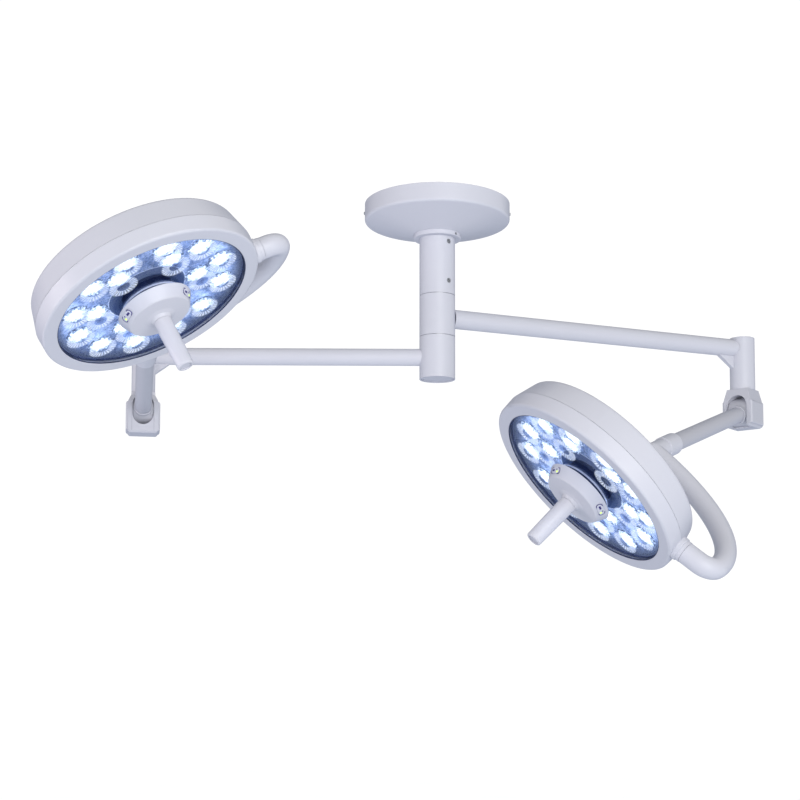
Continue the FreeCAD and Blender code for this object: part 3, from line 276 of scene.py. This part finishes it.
def dish_metal():
    """Blue anodised reflector with pressed radial seams, glowing with painted light for the lamps around it, with
    painted shade round the control hub and at its rolled edge and a painted highlight line by the sunk ring.
    """
    n = Nodes("dish_metal")
    angle = n.attribute("angle")
    radius = n.attribute("radius")
    seam_phase = n.math("FRACT", n.math("MULTIPLY", angle, DISH_SEAMS))
    seam = n.span(n.math("ABSOLUTE", n.math("SUBTRACT", seam_phase, 0.5)), 0.0, 1.0, 0.47, 0.5)
    cloud = n.noise(34.0, 5.0, 0.65)
    ripple = n.noise(160.0, 4.0, 0.7)
    tone = n.ramp(cloud, (0.34, (0.060, 0.10, 0.24)), (0.50, (0.19, 0.28, 0.52)),
                  (0.66, (0.46, 0.58, 0.86)))
    tone = n.mix(n.span(ripple, 0.0, 0.75, 0.52, 0.78), tone, (0.66, 0.75, 0.92))
    tone = n.mix(n.math("MULTIPLY", seam, 0.6), tone, (0.80, 0.87, 0.98))
    hub_shade = n.span(radius, 1.0, 0.0, SHADE_RADIUS - 0.5, SHADE_RADIUS + 0.5)
    tone = n.mix(n.math("MULTIPLY", hub_shade, 0.94), tone, (0.050, 0.085, 0.20))
    # painted highlight: a bright line just outside the hub's painted shade
    rim_start = n.span(radius, 0.0, 1.0, SHADE_RADIUS, SHADE_RADIUS + 0.6)
    rim_end = n.span(radius, 1.0, 0.0, RIM_RADIUS, RIM_RADIUS + 1.5)
    rim_highlight = n.math("MULTIPLY", rim_start, rim_end)
    tone = n.mix(n.math("MULTIPLY", rim_highlight, 0.8), tone, (0.72, 0.80, 0.94))
    # painted shade on the dish's rolled edge
    edge_shade = n.span(radius, 0.0, 0.85, DISH_EDGE, DISH_EDGE + 15.0)
    tone = n.mix(edge_shade, tone, (0.030, 0.040, 0.085))
    gloss = n.math("ADD", n.span(ripple, 0.16, 0.42), n.math("MULTIPLY", hub_shade, 0.4))
    skin = n.bump(n.math("ADD", ripple, seam), 0.0006, 0.5)
    # the emission is painted light from the lamps, not a lamp of its own
    body = n.principled(Base_Color=tone, Metallic=0.55, Roughness=gloss, Normal=skin,
                        Specular_IOR_Level=n.span(hub_shade, 0.5, 0.1),
                        Emission_Color=tone, Emission_Strength=0.38)
    return n.surface(body)


def lamp_glow():
    """Faceted lamp reflector: blown-out white core breaking up into blue facets at its edge."""
    n = Nodes("lamp_glow")
    radius = n.attribute("radius")
    cells = n.add("ShaderNodeTexVoronoi", {"Vector": n.place, "Scale": FACET_SCALE})
    cells = cells.outputs["Distance"]
    ripple = n.noise(110.0, 5.0, 0.7)
    broken = n.math("ADD", n.math("MULTIPLY", ripple, 0.75), n.math("MULTIPLY", cells, 0.35))
    light = n.math("SUBTRACT", 1.46, n.math("ADD", n.math("MULTIPLY", radius, 0.72), broken))
    tone = n.ramp(light, (0.05, (0.09, 0.13, 0.27)), (0.24, (0.24, 0.33, 0.56)),
                  (0.38, (0.62, 0.76, 0.95)), (0.50, (0.93, 0.97, 1.0)))
    strength = n.span(light, 0.45, 3.0, 0.10, 0.65)
    glow = n.add("ShaderNodeEmission", {"Color": tone, "Strength": strength}).outputs["Emission"]
    gloss = n.principled(Base_Color=tone, Metallic=0.8, Roughness=n.span(ripple, 0.08, 0.3),
                         Normal=n.bump(broken, 0.001, 0.6))
    return n.surface(n.blend(0.86, gloss, glow))


def ribbed_lens():
    """Clear moulded ring whose ribs carry painted glints: a string of pale strokes of painted light."""
    n = Nodes("ribbed_lens")
    rib = n.attribute("rib")
    patch = n.noise(70.0, 4.0, 0.7)
    # painted glints: where the ribs glow with painted light
    painted_glint_mask = n.math("MULTIPLY", n.span(rib, 0.15, 1.0), n.span(patch, 0.70, 1.0, 0.3, 0.6))
    glint = n.ramp(patch, (0.3, (0.55, 0.66, 0.92)), (0.7, (0.93, 0.97, 1.0)))
    pale = n.add("ShaderNodeEmission", {"Color": glint, "Strength": 1.5}).outputs["Emission"]
    clear = n.add("ShaderNodeBsdfTransparent", {"Color": rgba((0.88, 0.92, 0.98))}).outputs["BSDF"]
    return n.surface(n.blend(n.math("MULTIPLY", painted_glint_mask, 0.95), clear, pale))


def lens_eye():
    """Middle of a lens: tinted, so it darkens what lies behind it."""
    n = Nodes("lens_eye")
    radius = n.attribute("radius")
    ripple = n.noise(130.0, 4.0, 0.7)
    tint = n.ramp(n.math("ADD", radius, n.math("MULTIPLY", ripple, 0.35)),
                  (0.25, (0.16, 0.21, 0.38)), (1.10, (0.66, 0.74, 0.90)))
    tint = n.mix(n.attribute("dark"), (0.95, 0.97, 1.0), tint)
    clear = n.add("ShaderNodeBsdfTransparent", {"Color": tint}).outputs["BSDF"]
    sheen = n.add("ShaderNodeBsdfGlossy", {"Color": rgba((0.8, 0.88, 1.0)), "Roughness": 0.15,
                                           "Normal": n.bump(ripple, 0.001, 0.5)}).outputs["BSDF"]
    return n.surface(n.blend(0.10, clear, sheen))


def indicator(name, colour, strength):
    """Small lit lens of an indicator lamp."""
    n = Nodes(name)
    core = n.noise(700.0, 2.0)
    tone = n.ramp(core, (0.3, tinted(colour, 0.7)), (0.7, colour))
    body = n.principled(Base_Color=tone, Roughness=n.span(core, 0.15, 0.3), Emission_Color=tone,
                        Emission_Strength=strength, Normal=n.bump(core, 0.0001, 0.3))
    return n.surface(body)


WHITE = (0.655, 0.660, 0.715)
PLASTIC = (0.675, 0.675, 0.725)
INK = (0.035, 0.030, 0.16)
MATERIALS = {
    "white_paint": paint("white_paint", WHITE, 0.46),
    # darker copies of the white paint: painted shade on the arms and clevises
    "arm_shaded_paint": paint("arm_shaded_paint", tinted(WHITE, 0.80), 0.46),
    "clevis_shaded_paint": paint("clevis_shaded_paint", tinted(WHITE, 0.90), 0.46),
    "white_plastic": paint("white_plastic", PLASTIC, 0.42, 0.00008, 0.0018),
    "zinc_plate": metal("zinc_plate", (0.62, 0.63, 0.65), 0.40, (1.0, 12.0, 1.0)),
    "machined_steel": metal("machined_steel", (0.58, 0.59, 0.61), 0.26),
    "fastener_steel": metal("fastener_steel", (0.46, 0.47, 0.49), 0.30),
    "bronze": metal("bronze", (0.60, 0.42, 0.20), 0.32),
    "clear_glass": cover_glass(),
    "keypad": paint("keypad", (0.70, 0.70, 0.76), 0.42, 0.00005, 0.0006),
}
SEAL = seal("dark_seal", (0.040, 0.042, 0.050))
# dark navy standing in for painted shade in the recesses round the cover, the dish edge and the hub neck
RECESS_SHADE = seal("navy_recess_shade", (0.022, 0.030, 0.075))
PRINT = seal("printed_ink", INK)
SHADOW = seal("seam_shadow", (0.16, 0.17, 0.21))
DISH = dish_metal()
GLOW = lamp_glow()
RIBS = ribbed_lens()
EYE = lens_eye()
GREEN = indicator("green_lamp", (0.62, 0.85, 0.12), 1.2)


def dress_cad_nodes():
    """Each CAD node gets the material of its slot, but arms and clevises get darker copies of the white paint as
    painted shade.
    """
    slots = {part["node"]: part["material_slot"] for part in frame["record"]["subparts"]}
    for side in SIDES:
        slots[f"spring_arm_{side}"] = slots[f"hinge_barrel_{side}"] = "arm_shaded_paint"
        slots[f"clevis_{side}"] = slots[f"clevis_covers_{side}"] = "clevis_shaded_paint"
    for name, node in nodes.items():
        material = MATERIALS.get(slots[name], MATERIALS["white_plastic"])
        node.data.materials.clear()
        node.data.materials.append(material)


# ------------------------------------------------------------------ mesh helpers

def mesh_object(name, verts, faces, material, attributes=None, smooth=True):
    """Mesh object in the scene, with one float attribute per vertex for each named list."""
    mesh = bpy.data.meshes.new(name)
    mesh.from_pydata([tuple(v) for v in verts], [], faces)
    mesh.update()
    for key, values in (attributes or {}).items():
        layer = mesh.attributes.new(key, "FLOAT", "POINT")
        layer.data.foreach_set("value", values)
    for polygon in mesh.polygons:
        polygon.use_smooth = smooth
    mesh.materials.append(material)
    item = bpy.data.objects.new(name, mesh)
    bpy.context.scene.collection.objects.link(item)
    return item


class Shape:
    """Vertices, faces and vertex attributes gathered for one mesh object."""

    def __init__(self, *attributes):
        self.verts = []
        self.faces = []
        self.values = {name: [] for name in attributes}

    def lathe(self, profile, segments=96, centre=(0.0, 0.0), value=None, close=False):
        """Surface of revolution about Z through (radius, height) points.

        value(radius, share, row) returns the vertex attributes, share running round from 0 to 1.
        """
        start = len(self.verts)
        for step in range(segments):
            share = step / segments
            turn = 2 * math.pi * share
            for row, (radius, height) in enumerate(profile):
                self.verts.append(Vector((centre[0] + radius * math.cos(turn),
                                          centre[1] + radius * math.sin(turn), height)))
                if value:
                    for key, number in value(radius, share, row).items():
                        self.values[key].append(number)
        rows = len(profile)
        last = rows if close else rows - 1
        for step in range(segments):
            here = start + step * rows
            there = start + (step + 1) % segments * rows
            for row in range(last):
                after = (row + 1) % rows
                self.faces.append((here + row, there + row, there + after, here + after))

    def make(self, name, matrix, material, smooth=True):
        """Object of the gathered mesh, placed by a matrix."""
        verts = [matrix @ vert for vert in self.verts]
        return mesh_object(name, verts, self.faces, material, self.values, smooth)


def place_piece(item, body, slot_name, *stands_for):
    """Ties a piece to its moving body, in place of any CAD nodes named; the material slot is not used."""
    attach(item, body)
    if stands_for:
        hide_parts(*stands_for)


# ------------------------------------------------------------------ the lit face of a head

INNER_RING = 125.0
OUTER_RING = 183.0
LAMP_RADIUS = 32.5
LAMP_BASE = {INNER_RING: 1.0, OUTER_RING: -10.0}    # height of the lamps' rims
EYE_RADIUS = 13.5
RIB_OUTER = 34.5
RIB_COUNT = 24
RIB_RISE = 1.3
BOWL_FACETS = 24
GLASS_BACK = -24.0
OUTER_TINT = 0.30       # how dark the middles of the outer lenses are, next to the inner ones
RING_STEPS = 180        # segments of the large rings of a head
COLLAR_STEPS = 96       # segments of the rings round the control hub


def lamp_places():
    """Centre and ring of each lamp: six inside, in line with the pivot, and twelve outside."""
    places = []
    for count, radius, start in ((6, INNER_RING, 90.0), (12, OUTER_RING, 105.0)):
        for i in range(count):
            angle = math.radians(start + 360.0 * i / count)
            places.append(((radius * math.cos(angle), radius * math.sin(angle)), radius))
    return places


def round_values(radius, share, row):
    return {"radius": radius, "angle": share}


def build_dish(side):
    """Shallow reflector dish with a sunk ring round the control hub and a rolled outer edge."""
    profile = [(60.0, 8.0), (60.0, 5.5), (87.0, 5.5), (88.5, 4.5), (89.5, 3.0), (92.0, 2.6),
               (130.0, 2.6), (170.0, 2.4), (196.0, 0.5), (212.0, -4.0), (222.0, -10.0),
               (226.5, -16.0), (226.5, 5.0), (205.0, 12.0), (150.0, 14.0), (60.0, 14.0)]
    shape = Shape("radius", "angle")
    shape.lathe(profile, RING_STEPS, value=round_values, close=True)
    dish = shape.make(f"reflector_dish_{side}", PLACE[side], DISH)
    place_piece(dish, f"head_{side}", "blue_reflector", f"reflector_{side}")
    # dark navy ring of painted shade in the gap between the dish's rolled edge and the bezel
    rim_shade = Shape()
    rim_shade.lathe([(226.8, -15.0), (228.2, -23.8), (229.6, -23.8), (229.6, -13.0), (227.4, -13.0)],
                RING_STEPS, close=True)
    band = rim_shade.make(f"dish_rim_shade_{side}", PLACE[side], RECESS_SHADE)
    place_piece(band, f"head_{side}", "blue_reflector")


def build_lamps(side):
    """Faceted bowls on the dish, one behind each lens, drawn as petals that step inwards."""
    chance = random.Random(SEED)
    shape = Shape("radius")
    for centre, ring in lamp_places():
        lift = chance.uniform(-0.4, 0.4)
        stretch = [chance.uniform(0.90, 1.08) for _ in range(BOWL_FACETS)]
        rows = ((1.0, 0.0), (0.93, -2.2), (0.78, -0.4), (0.66, -3.4), (0.47, -1.4),
                (0.34, -4.2), (0.16, -3.0), (0.012, -5.6))
        profile = [(LAMP_RADIUS * share, LAMP_BASE[ring] + lift + drop) for share, drop in rows]

        def bowl_value(radius, share, row):
            return {"radius": radius / LAMP_RADIUS}

        first = len(shape.verts)
        shape.lathe(profile, BOWL_FACETS, centre, bowl_value)
        for index in range(first, len(shape.verts)):
            spoke = (index - first) // len(profile)
            middle = Vector((centre[0], centre[1], 0.0))
            reach = shape.verts[index] - middle
            wide = reach * stretch[spoke]
            shape.verts[index] = middle + Vector((wide.x, wide.y, reach.z))
    lamps = shape.make(f"lamp_bowls_{side}", PLACE[side], GLOW, smooth=False)
    place_piece(lamps, f"head_{side}", "led_white", f"leds_{side}")


def build_lenses(side):
    """Moulded lens rings behind the cover: radial ribs round a smooth tinted eye."""
    ribs = Shape("rib")
    eyes = Shape("radius", "dark")
    for centre, ring in lamp_places():
        tint = 1.0 if ring == INNER_RING else OUTER_TINT

        def rib_value(radius, share, row):
            crest = 1.0 if round(share * RIB_COUNT * 2) % 2 else 0.0
            inside = 0.35 if row in (0, 4) else 1.0
            return {"rib": crest * inside}

        first = len(ribs.verts)
        profile = [(EYE_RADIUS + 1.5, GLASS_BACK + 0.8), (EYE_RADIUS + 4.0, GLASS_BACK + 1.4),
                   (22.5, GLASS_BACK + 1.8), (RIB_OUTER - 3.0, GLASS_BACK + 1.4),
                   (RIB_OUTER, GLASS_BACK + 0.8)]
        ribs.lathe(profile, RIB_COUNT * 2, centre, rib_value)
        rows = len(profile)
        for index in range(first, len(ribs.verts)):
            if (index - first) // rows % 2:
                ribs.verts[index].z += RIB_RISE

        def eye_value(radius, share, row):
            return {"radius": radius / EYE_RADIUS, "dark": tint}

        dome = [(EYE_RADIUS + 1.5, GLASS_BACK + 0.8), (EYE_RADIUS, GLASS_BACK + 0.6),
                (EYE_RADIUS * 0.75, GLASS_BACK + 1.8), (EYE_RADIUS * 0.4, GLASS_BACK + 2.8),
                (0.05, GLASS_BACK + 3.2)]
        eyes.lathe(dome, 40, centre, eye_value)
    rings = ribs.make(f"lens_ribs_{side}", PLACE[side], RIBS, smooth=False)
    place_piece(rings, f"head_{side}", "lens_glass", f"lenses_{side}")
    middles = eyes.make(f"lens_eyes_{side}", PLACE[side], EYE)
    place_piece(middles, f"head_{side}", "lens_glass")


def build_hub_neck_shade(side):
    """Dark navy sleeve round the neck of the control hub, painted shade seen through the cover as a deep recess,
    and a thin ring of painted shade further along the neck.
    """
    shape = Shape()
    shape.lathe([(58.4, 5.4), (60.5, 5.4), (60.5, -21.7), (73.4, -21.7), (73.4, -23.6), (58.4, -23.6)],
                COLLAR_STEPS, close=True)
    neck_shade = shape.make(f"hub_neck_shade_{side}", PLACE[side], RECESS_SHADE)
    place_piece(neck_shade, f"head_{side}", "blue_reflector")
    gap_shade = Shape()
    gap_shade.lathe([(73.3, -28.6), (73.9, -28.6), (74.6, -38.7), (73.3, -38.7)],
                 COLLAR_STEPS, close=True)
    band = gap_shade.make(f"hub_gap_shade_{side}", PLACE[side], RECESS_SHADE)
    place_piece(band, f"head_{side}", "blue_reflector")


def build_bezel_trim(side):
    """Dark navy ring in the bezel lip as painted shade of its recess, and the thin dark line of the joint behind
    the bezel.
    """
    lip = Shape()
    lip.lathe([(230.75, -31.0), (230.75, -28.1), (230.0, -28.1), (229.4, -28.6), (229.8, -30.6),
               (230.3, -31.1)], RING_STEPS, close=True)
    lip_shade = lip.make(f"bezel_lip_shade_{side}", PLACE[side], RECESS_SHADE)
    place_piece(lip_shade, f"head_{side}", "blue_reflector")
    seam = Shape()
    seam.lathe([(265.6, 7.05), (265.6, 7.55), (262.0, 7.55), (262.0, 7.05)],
               RING_STEPS, close=True)
    gasket = seam.make(f"head_gasket_{side}", PLACE[side], SEAL)
    place_piece(gasket, f"head_{side}", "white_plastic")


# ------------------------------------------------------------------ screws and seams

BACK_SCREWS = 8
BACK_SCREW_RING = 226.0
ABOVE_HEAD = 400.0      # a height clear of the rear housing
SEAM_OFFSET = 30.4      # of each clevis seam from the middle
SEAM_TOP = 18.0
SEAM_HALF_WIDTH = 0.28
SEAM_DEPTH = 1.0
SEAM_PROUD = 0.12
SEAM_FOOT = 6.0


def surface_height(node, matrix, x, y):
    """Height in a head's own frame of the top of a CAD node above (x, y)."""
    start = matrix @ Vector((x, y, ABOVE_HEAD))
    way = (matrix.to_3x3() @ Vector((0.0, 0.0, -1.0))).normalized()
    hit, point = nodes[node].ray_cast(start, way)[:2]
    return (matrix.inverted() @ point).z if hit else None


def build_back_screws(side):
    """Socket screws that hold the rear housing, in a ring round its crown."""
    shape = Shape()
    for i in range(BACK_SCREWS):
        turn = 2 * math.pi * (i + 0.5) / BACK_SCREWS
        x, y = BACK_SCREW_RING * math.cos(turn), BACK_SCREW_RING * math.sin(turn)
        top = surface_height(f"rear_housing_{side}", PLACE[side], x, y)
        if top is None:
            continue
        profile = [(5.2, top - 2.5), (5.2, top + 0.9), (4.4, top + 1.8), (2.6, top + 1.8),
                   (2.4, top + 0.5), (0.05, top + 0.5)]
        shape.lathe(profile, 24, (x, y))
    screws = shape.make(f"back_screws_{side}", PLACE[side], MATERIALS["fastener_steel"])
    place_piece(screws, f"head_{side}", "fastener_steel")


def clevis_matrix(side):
    """Clevis frame: origin on the hinge pin, Y along the pin, Z up the drop tube, in mm."""
    tilt = joints[f"arm_tilt_{side}"]
    y = -Vector(tilt["axis"]).normalized()
    z = Vector((0.0, 0.0, 1.0))
    matrix = Matrix((y.cross(z), y, z)).transposed().to_4x4()
    matrix.translation = Vector(tilt["pos_m"])
    return matrix @ Matrix.Scale(MM, 4)


def box_faces(shape, low, high):
    """Adds a box between two corners."""
    start = len(shape.verts)
    for x in (low[0], high[0]):
        for y in (low[1], high[1]):
            for z in (low[2], high[2]):
                shape.verts.append(Vector((x, y, z)))
    for face in ((0, 1, 3, 2), (4, 6, 7, 5), (0, 4, 5, 1), (2, 3, 7, 6), (0, 2, 6, 4), (1, 5, 7, 3)):
        shape.faces.append(tuple(start + corner for corner in face))


def build_clevis_seams(side):
    """Two upright joint lines on the front of the clevis, beside its mouth."""
    matrix = clevis_matrix(side)
    points = local_points(f"clevis_{side}", matrix)
    front = max(point.x for point in points)
    bottom = min(point.z for point in points)
    line = SEAM_HALF_WIDTH * SCALE[side]
    seam_y = SEAM_OFFSET * SCALE[side]
    shape = Shape()
    for sign in (-1, 1):
        box_faces(shape, (front - SEAM_DEPTH, sign * seam_y - line, bottom + SEAM_FOOT),
                  (front + SEAM_PROUD, sign * seam_y + line, SEAM_TOP * SCALE[side]))
    seams = shape.make(f"clevis_seams_{side}", matrix, SHADOW, smooth=False)
    place_piece(seams, f"knuckle_{side}", "white_paint")


# ------------------------------------------------------------------ keypads

SKIRT_RADIUS = 88.5
SKIRT_HEIGHT = 40.4
FRONT_RADIUS = 75.0
FRONT_HEIGHT = 65.5
KEY_HEIGHT = 53.5
KEY_PROUD = 0.6
PRINT_SUNK = 0.3        # below the key's face
PRINT_RISE = 0.25       # above it
LAMP_RISE = 0.9
OUTLINE_LENGTH, OUTLINE_WIDTH, OUTLINE_CORNER = 37.4, 14.0, 6.4
OUTLINE_HALF_LINE = 0.95
BAR_HALF_LINE = 2.4
BAR_PLACES = (12.5, 8.0, 2.5)
DOT_ALONG, DOT_DOWN, DOT_RADIUS = -6.0, -2.8, 1.9
LAMP_ALONG, LAMP_DOWN, INDICATOR_RADIUS = -9.5, 2.4, 2.4
READING_WAY = {("key_upper", "left"): -1, ("key_lower", "left"): 1,
               ("key_upper", "right"): -1, ("key_lower", "right"): -1}


def wall_point(angle, along, down, lift):
    """Point on the hub's sloping wall: along the wall round the hub, down it, and lifted off."""
    slope = math.atan2(SKIRT_RADIUS - FRONT_RADIUS, FRONT_HEIGHT - SKIRT_HEIGHT)
    radius = SKIRT_RADIUS - (KEY_HEIGHT - SKIRT_HEIGHT) * math.tan(slope) - down * math.sin(slope)
    height = -KEY_HEIGHT - down * math.cos(slope)
    turn = angle + along / radius
    reach = radius + lift * math.cos(slope)
    return Vector((reach * math.cos(turn), reach * math.sin(turn), height - lift * math.sin(slope)))


def key_angle(name, side):
    """Where round the hub a key sits, from the direction that it presses in."""
    push = Vector(joints[f"{name}_press_{side}"]["axis"])
    inward = MATRIX[side].to_3x3().inverted() @ push
    return math.atan2(-inward.y, -inward.x)


def rounded_outline(length, width, corner, steps=6):
    """Corner-rounded rectangle as (along, down) points."""
    points = []
    for quarter in range(4):
        middle = ((length / 2 - corner) * (1, -1, -1, 1)[quarter],
                  (width / 2 - corner) * (1, 1, -1, -1)[quarter])
        for step in range(steps + 1):
            turn = math.pi / 2 * (quarter + step / steps)
            points.append((middle[0] + corner * math.cos(turn), middle[1] + corner * math.sin(turn)))
    return points


def line_on_wall(shape, angle, points, half_width, low, high, closed=True):
    """Flat raised band that follows points on the hub wall."""
    count = len(points)
    start = len(shape.verts)
    for i, (along, down) in enumerate(points):
        before = points[i - 1] if closed or i else points[i]
        after = points[(i + 1) % count] if closed or i < count - 1 else points[i]
        run = Vector((after[0] - before[0], after[1] - before[1])).normalized()
        side_x, side_y = -run.y * half_width, run.x * half_width
        for sign, lift in ((1, low), (1, high), (-1, high), (-1, low)):
            shape.verts.append(wall_point(angle, along + sign * side_x, down + sign * side_y, lift))
    spans = count if closed else count - 1
    for i in range(spans):
        here, there = start + 4 * i, start + 4 * ((i + 1) % count)
        for corner in range(4):
            after = (corner + 1) % 4
            shape.faces.append((here + corner, there + corner, there + after, here + after))
    if not closed:
        end = start + 4 * (count - 1)
        shape.faces.append((start, start + 1, start + 2, start + 3))
        shape.faces.append((end + 3, end + 2, end + 1, end))


def disc_on_wall(shape, angle, along, down, radius, low, high, steps=16):
    """Round button with a sloping edge on the hub wall."""
    start = len(shape.verts)
    for lift, share in ((low, 1.0), (high * 0.85, 1.0), (high, 0.75)):
        for step in range(steps):
            turn = 2 * math.pi * step / steps
            shape.verts.append(wall_point(angle, along + radius * share * math.cos(turn),
                                          down + radius * share * math.sin(turn), lift))
    for row in range(2):
        for step in range(steps):
            here, there = start + row * steps, start + (row + 1) * steps
            after = (step + 1) % steps
            shape.faces.append((here + step, here + after, there + after, there + step))
    shape.faces.append(tuple(start + 2 * steps + step for step in range(steps)))
    shape.faces.append(tuple(start + step for step in reversed(range(steps))))


def build_keypad(name, side):
    """Printed outline, bar and dot of a key, and its indicator lamp."""
    angle = key_angle(name, side)
    body = f"{name}_{side}"
    low, top = KEY_PROUD - PRINT_SUNK, KEY_PROUD + PRINT_RISE
    print_shape = Shape()
    way = READING_WAY[name, side]
    outline = rounded_outline(OUTLINE_LENGTH, OUTLINE_WIDTH, OUTLINE_CORNER)
    line_on_wall(print_shape, angle, outline, OUTLINE_HALF_LINE, low, top)
    bar = [(along * way, 0.0) for along in BAR_PLACES]
    line_on_wall(print_shape, angle, bar, BAR_HALF_LINE, low, top, closed=False)
    disc_on_wall(print_shape, angle, DOT_ALONG * way, DOT_DOWN, DOT_RADIUS, low, top)
    item = print_shape.make(f"{name}_print_{side}", PLACE[side], PRINT, smooth=False)
    place_piece(item, body, "keypad")
    lamp_shape = Shape()
    disc_on_wall(lamp_shape, angle, LAMP_ALONG * way, LAMP_DOWN, INDICATOR_RADIUS,
                 low, KEY_PROUD + LAMP_RISE)
    lamp = lamp_shape.make(f"{name}_lamp_{side}", PLACE[side], GREEN)
    place_piece(lamp, body, "led_white")


# ------------------------------------------------------------------ stage, light and camera

FLOOR_LEVEL = -2.6
FLOOR_HALF = 30.0
CAMERA_PLACE = (-0.1073, -4.3307, -1.3756)
CAMERA_PITCH = 4.707    # degrees up
CAMERA_YAW = 1.13       # degrees to the right
LENS = 69.63
SENSOR_WIDTH = 36.0


def build_floor():
    """Pale flat floor far below the lights, lit so that it shows white."""
    n = Nodes("studio_floor")
    tone = n.ramp(n.noise(1.5, 4.0), (0.3, (0.86, 0.865, 0.875)), (0.7, (0.90, 0.90, 0.905)))
    body = n.principled(Base_Color=tone, Roughness=n.span(n.noise(6.0), 0.6, 0.8),
                        Normal=n.bump(n.noise(300.0), 0.0004, 0.2))
    bounce = n.add("ShaderNodeEmission", {"Color": rgba((0.80, 0.86, 1.0)), "Strength": 0.80})
    shown = n.add("ShaderNodeEmission", {"Color": tone, "Strength": 1.25})
    seen = n.add("ShaderNodeLightPath").outputs["Is Camera Ray"]
    lit = n.blend(seen, bounce.outputs["Emission"], shown.outputs["Emission"])
    material = n.surface(n.blend(0.88, body, lit))
    half = FLOOR_HALF
    verts = [(x, y, FLOOR_LEVEL) for x, y in ((-half, -half), (half, -half), (half, half), (-half, half))]
    mesh_object("floor", verts, [(0, 1, 2, 3)], material)


def build_world():
    """White room: plain white to the camera, bluer from below to everything else."""
    world = bpy.data.worlds.new("studio")
    bpy.context.scene.world = world
    world.use_nodes = True
    tree = world.node_tree
    tree.nodes.clear()
    output = tree.nodes.new("ShaderNodeOutputWorld")
    seen = tree.nodes.new("ShaderNodeBackground")
    seen.inputs["Color"].default_value = (1.0, 1.0, 1.0, 1.0)
    seen.inputs["Strength"].default_value = 1.05
    fill = tree.nodes.new("ShaderNodeBackground")
    fill.inputs["Strength"].default_value = 0.56
    place = tree.nodes.new("ShaderNodeTexCoord")
    split = tree.nodes.new("ShaderNodeSeparateXYZ")
    ramp = tree.nodes.new("ShaderNodeValToRGB")
    shift = tree.nodes.new("ShaderNodeMapRange")
    shift.inputs["From Min"].default_value = -1.0
    ramp.color_ramp.elements[0].color = (0.80, 0.86, 1.0, 1.0)
    ramp.color_ramp.elements[1].color = (0.80, 0.80, 0.81, 1.0)
    tree.links.new(place.outputs["Generated"], split.inputs["Vector"])
    tree.links.new(split.outputs["Z"], shift.inputs["Value"])
    tree.links.new(shift.outputs["Result"], ramp.inputs["Fac"])
    tree.links.new(ramp.outputs["Color"], fill.inputs["Color"])
    path = tree.nodes.new("ShaderNodeLightPath")
    choose = tree.nodes.new("ShaderNodeMixShader")
    tree.links.new(path.outputs["Is Camera Ray"], choose.inputs["Fac"])
    tree.links.new(fill.outputs["Background"], choose.inputs[1])
    tree.links.new(seen.outputs["Background"], choose.inputs[2])
    tree.links.new(choose.outputs["Shader"], output.inputs["Surface"])


def area_light(name, position, target, size, power, colour):
    """Round soft light aimed at a point."""
    data = bpy.data.lights.new(name, "AREA")
    data.shape = "DISK"
    data.size = size
    data.energy = power
    data.color = colour
    lamp = bpy.data.objects.new(name, data)
    lamp.location = position
    aim = Vector(target) - Vector(position)
    lamp.rotation_euler = aim.to_track_quat("-Z", "Y").to_euler()
    bpy.context.scene.collection.objects.link(lamp)


def build_lights():
    """Broad key light in front of the object and a small warmer one by the left head."""
    centre = (0.0, 0.0, -0.5)
    area_light("key", (1.8, -5.2, -0.6), centre, 4.5, 172.0, (1.0, 0.99, 0.98))
    area_light("side", (-2.9, -1.4, -0.9), (-1.0, -0.3, -0.5), 1.2, 20.0, (1.0, 0.90, 0.92))


def build_camera():
    """Below the lower head and slightly left of the column, looking a little upwards."""
    data = bpy.data.cameras.new("camera")
    data.sensor_width = SENSOR_WIDTH
    data.lens = LENS
    data.shift_x = -0.037
    data.shift_y = 0.2
    data.clip_end = 200.0
    camera = bpy.data.objects.new("camera", data)
    camera.location = CAMERA_PLACE
    pitch, yaw = math.radians(CAMERA_PITCH), math.radians(CAMERA_YAW)
    camera.rotation_euler = (math.radians(90.0) + pitch, 0.0, -yaw)
    bpy.context.scene.collection.objects.link(camera)
    bpy.context.scene.camera = camera


def main():
    dress_cad_nodes()
    for side in SIDES:
        build_dish(side)
        build_lamps(side)
        build_lenses(side)
        build_hub_neck_shade(side)
        build_bezel_trim(side)
        build_back_screws(side)
        build_clevis_seams(side)
        for name in ("key_upper", "key_lower"):
            build_keypad(name, side)
    build_floor()
    build_world()
    build_lights()
    build_camera()
    bpy.context.scene.view_settings.view_transform = "Standard"


main()
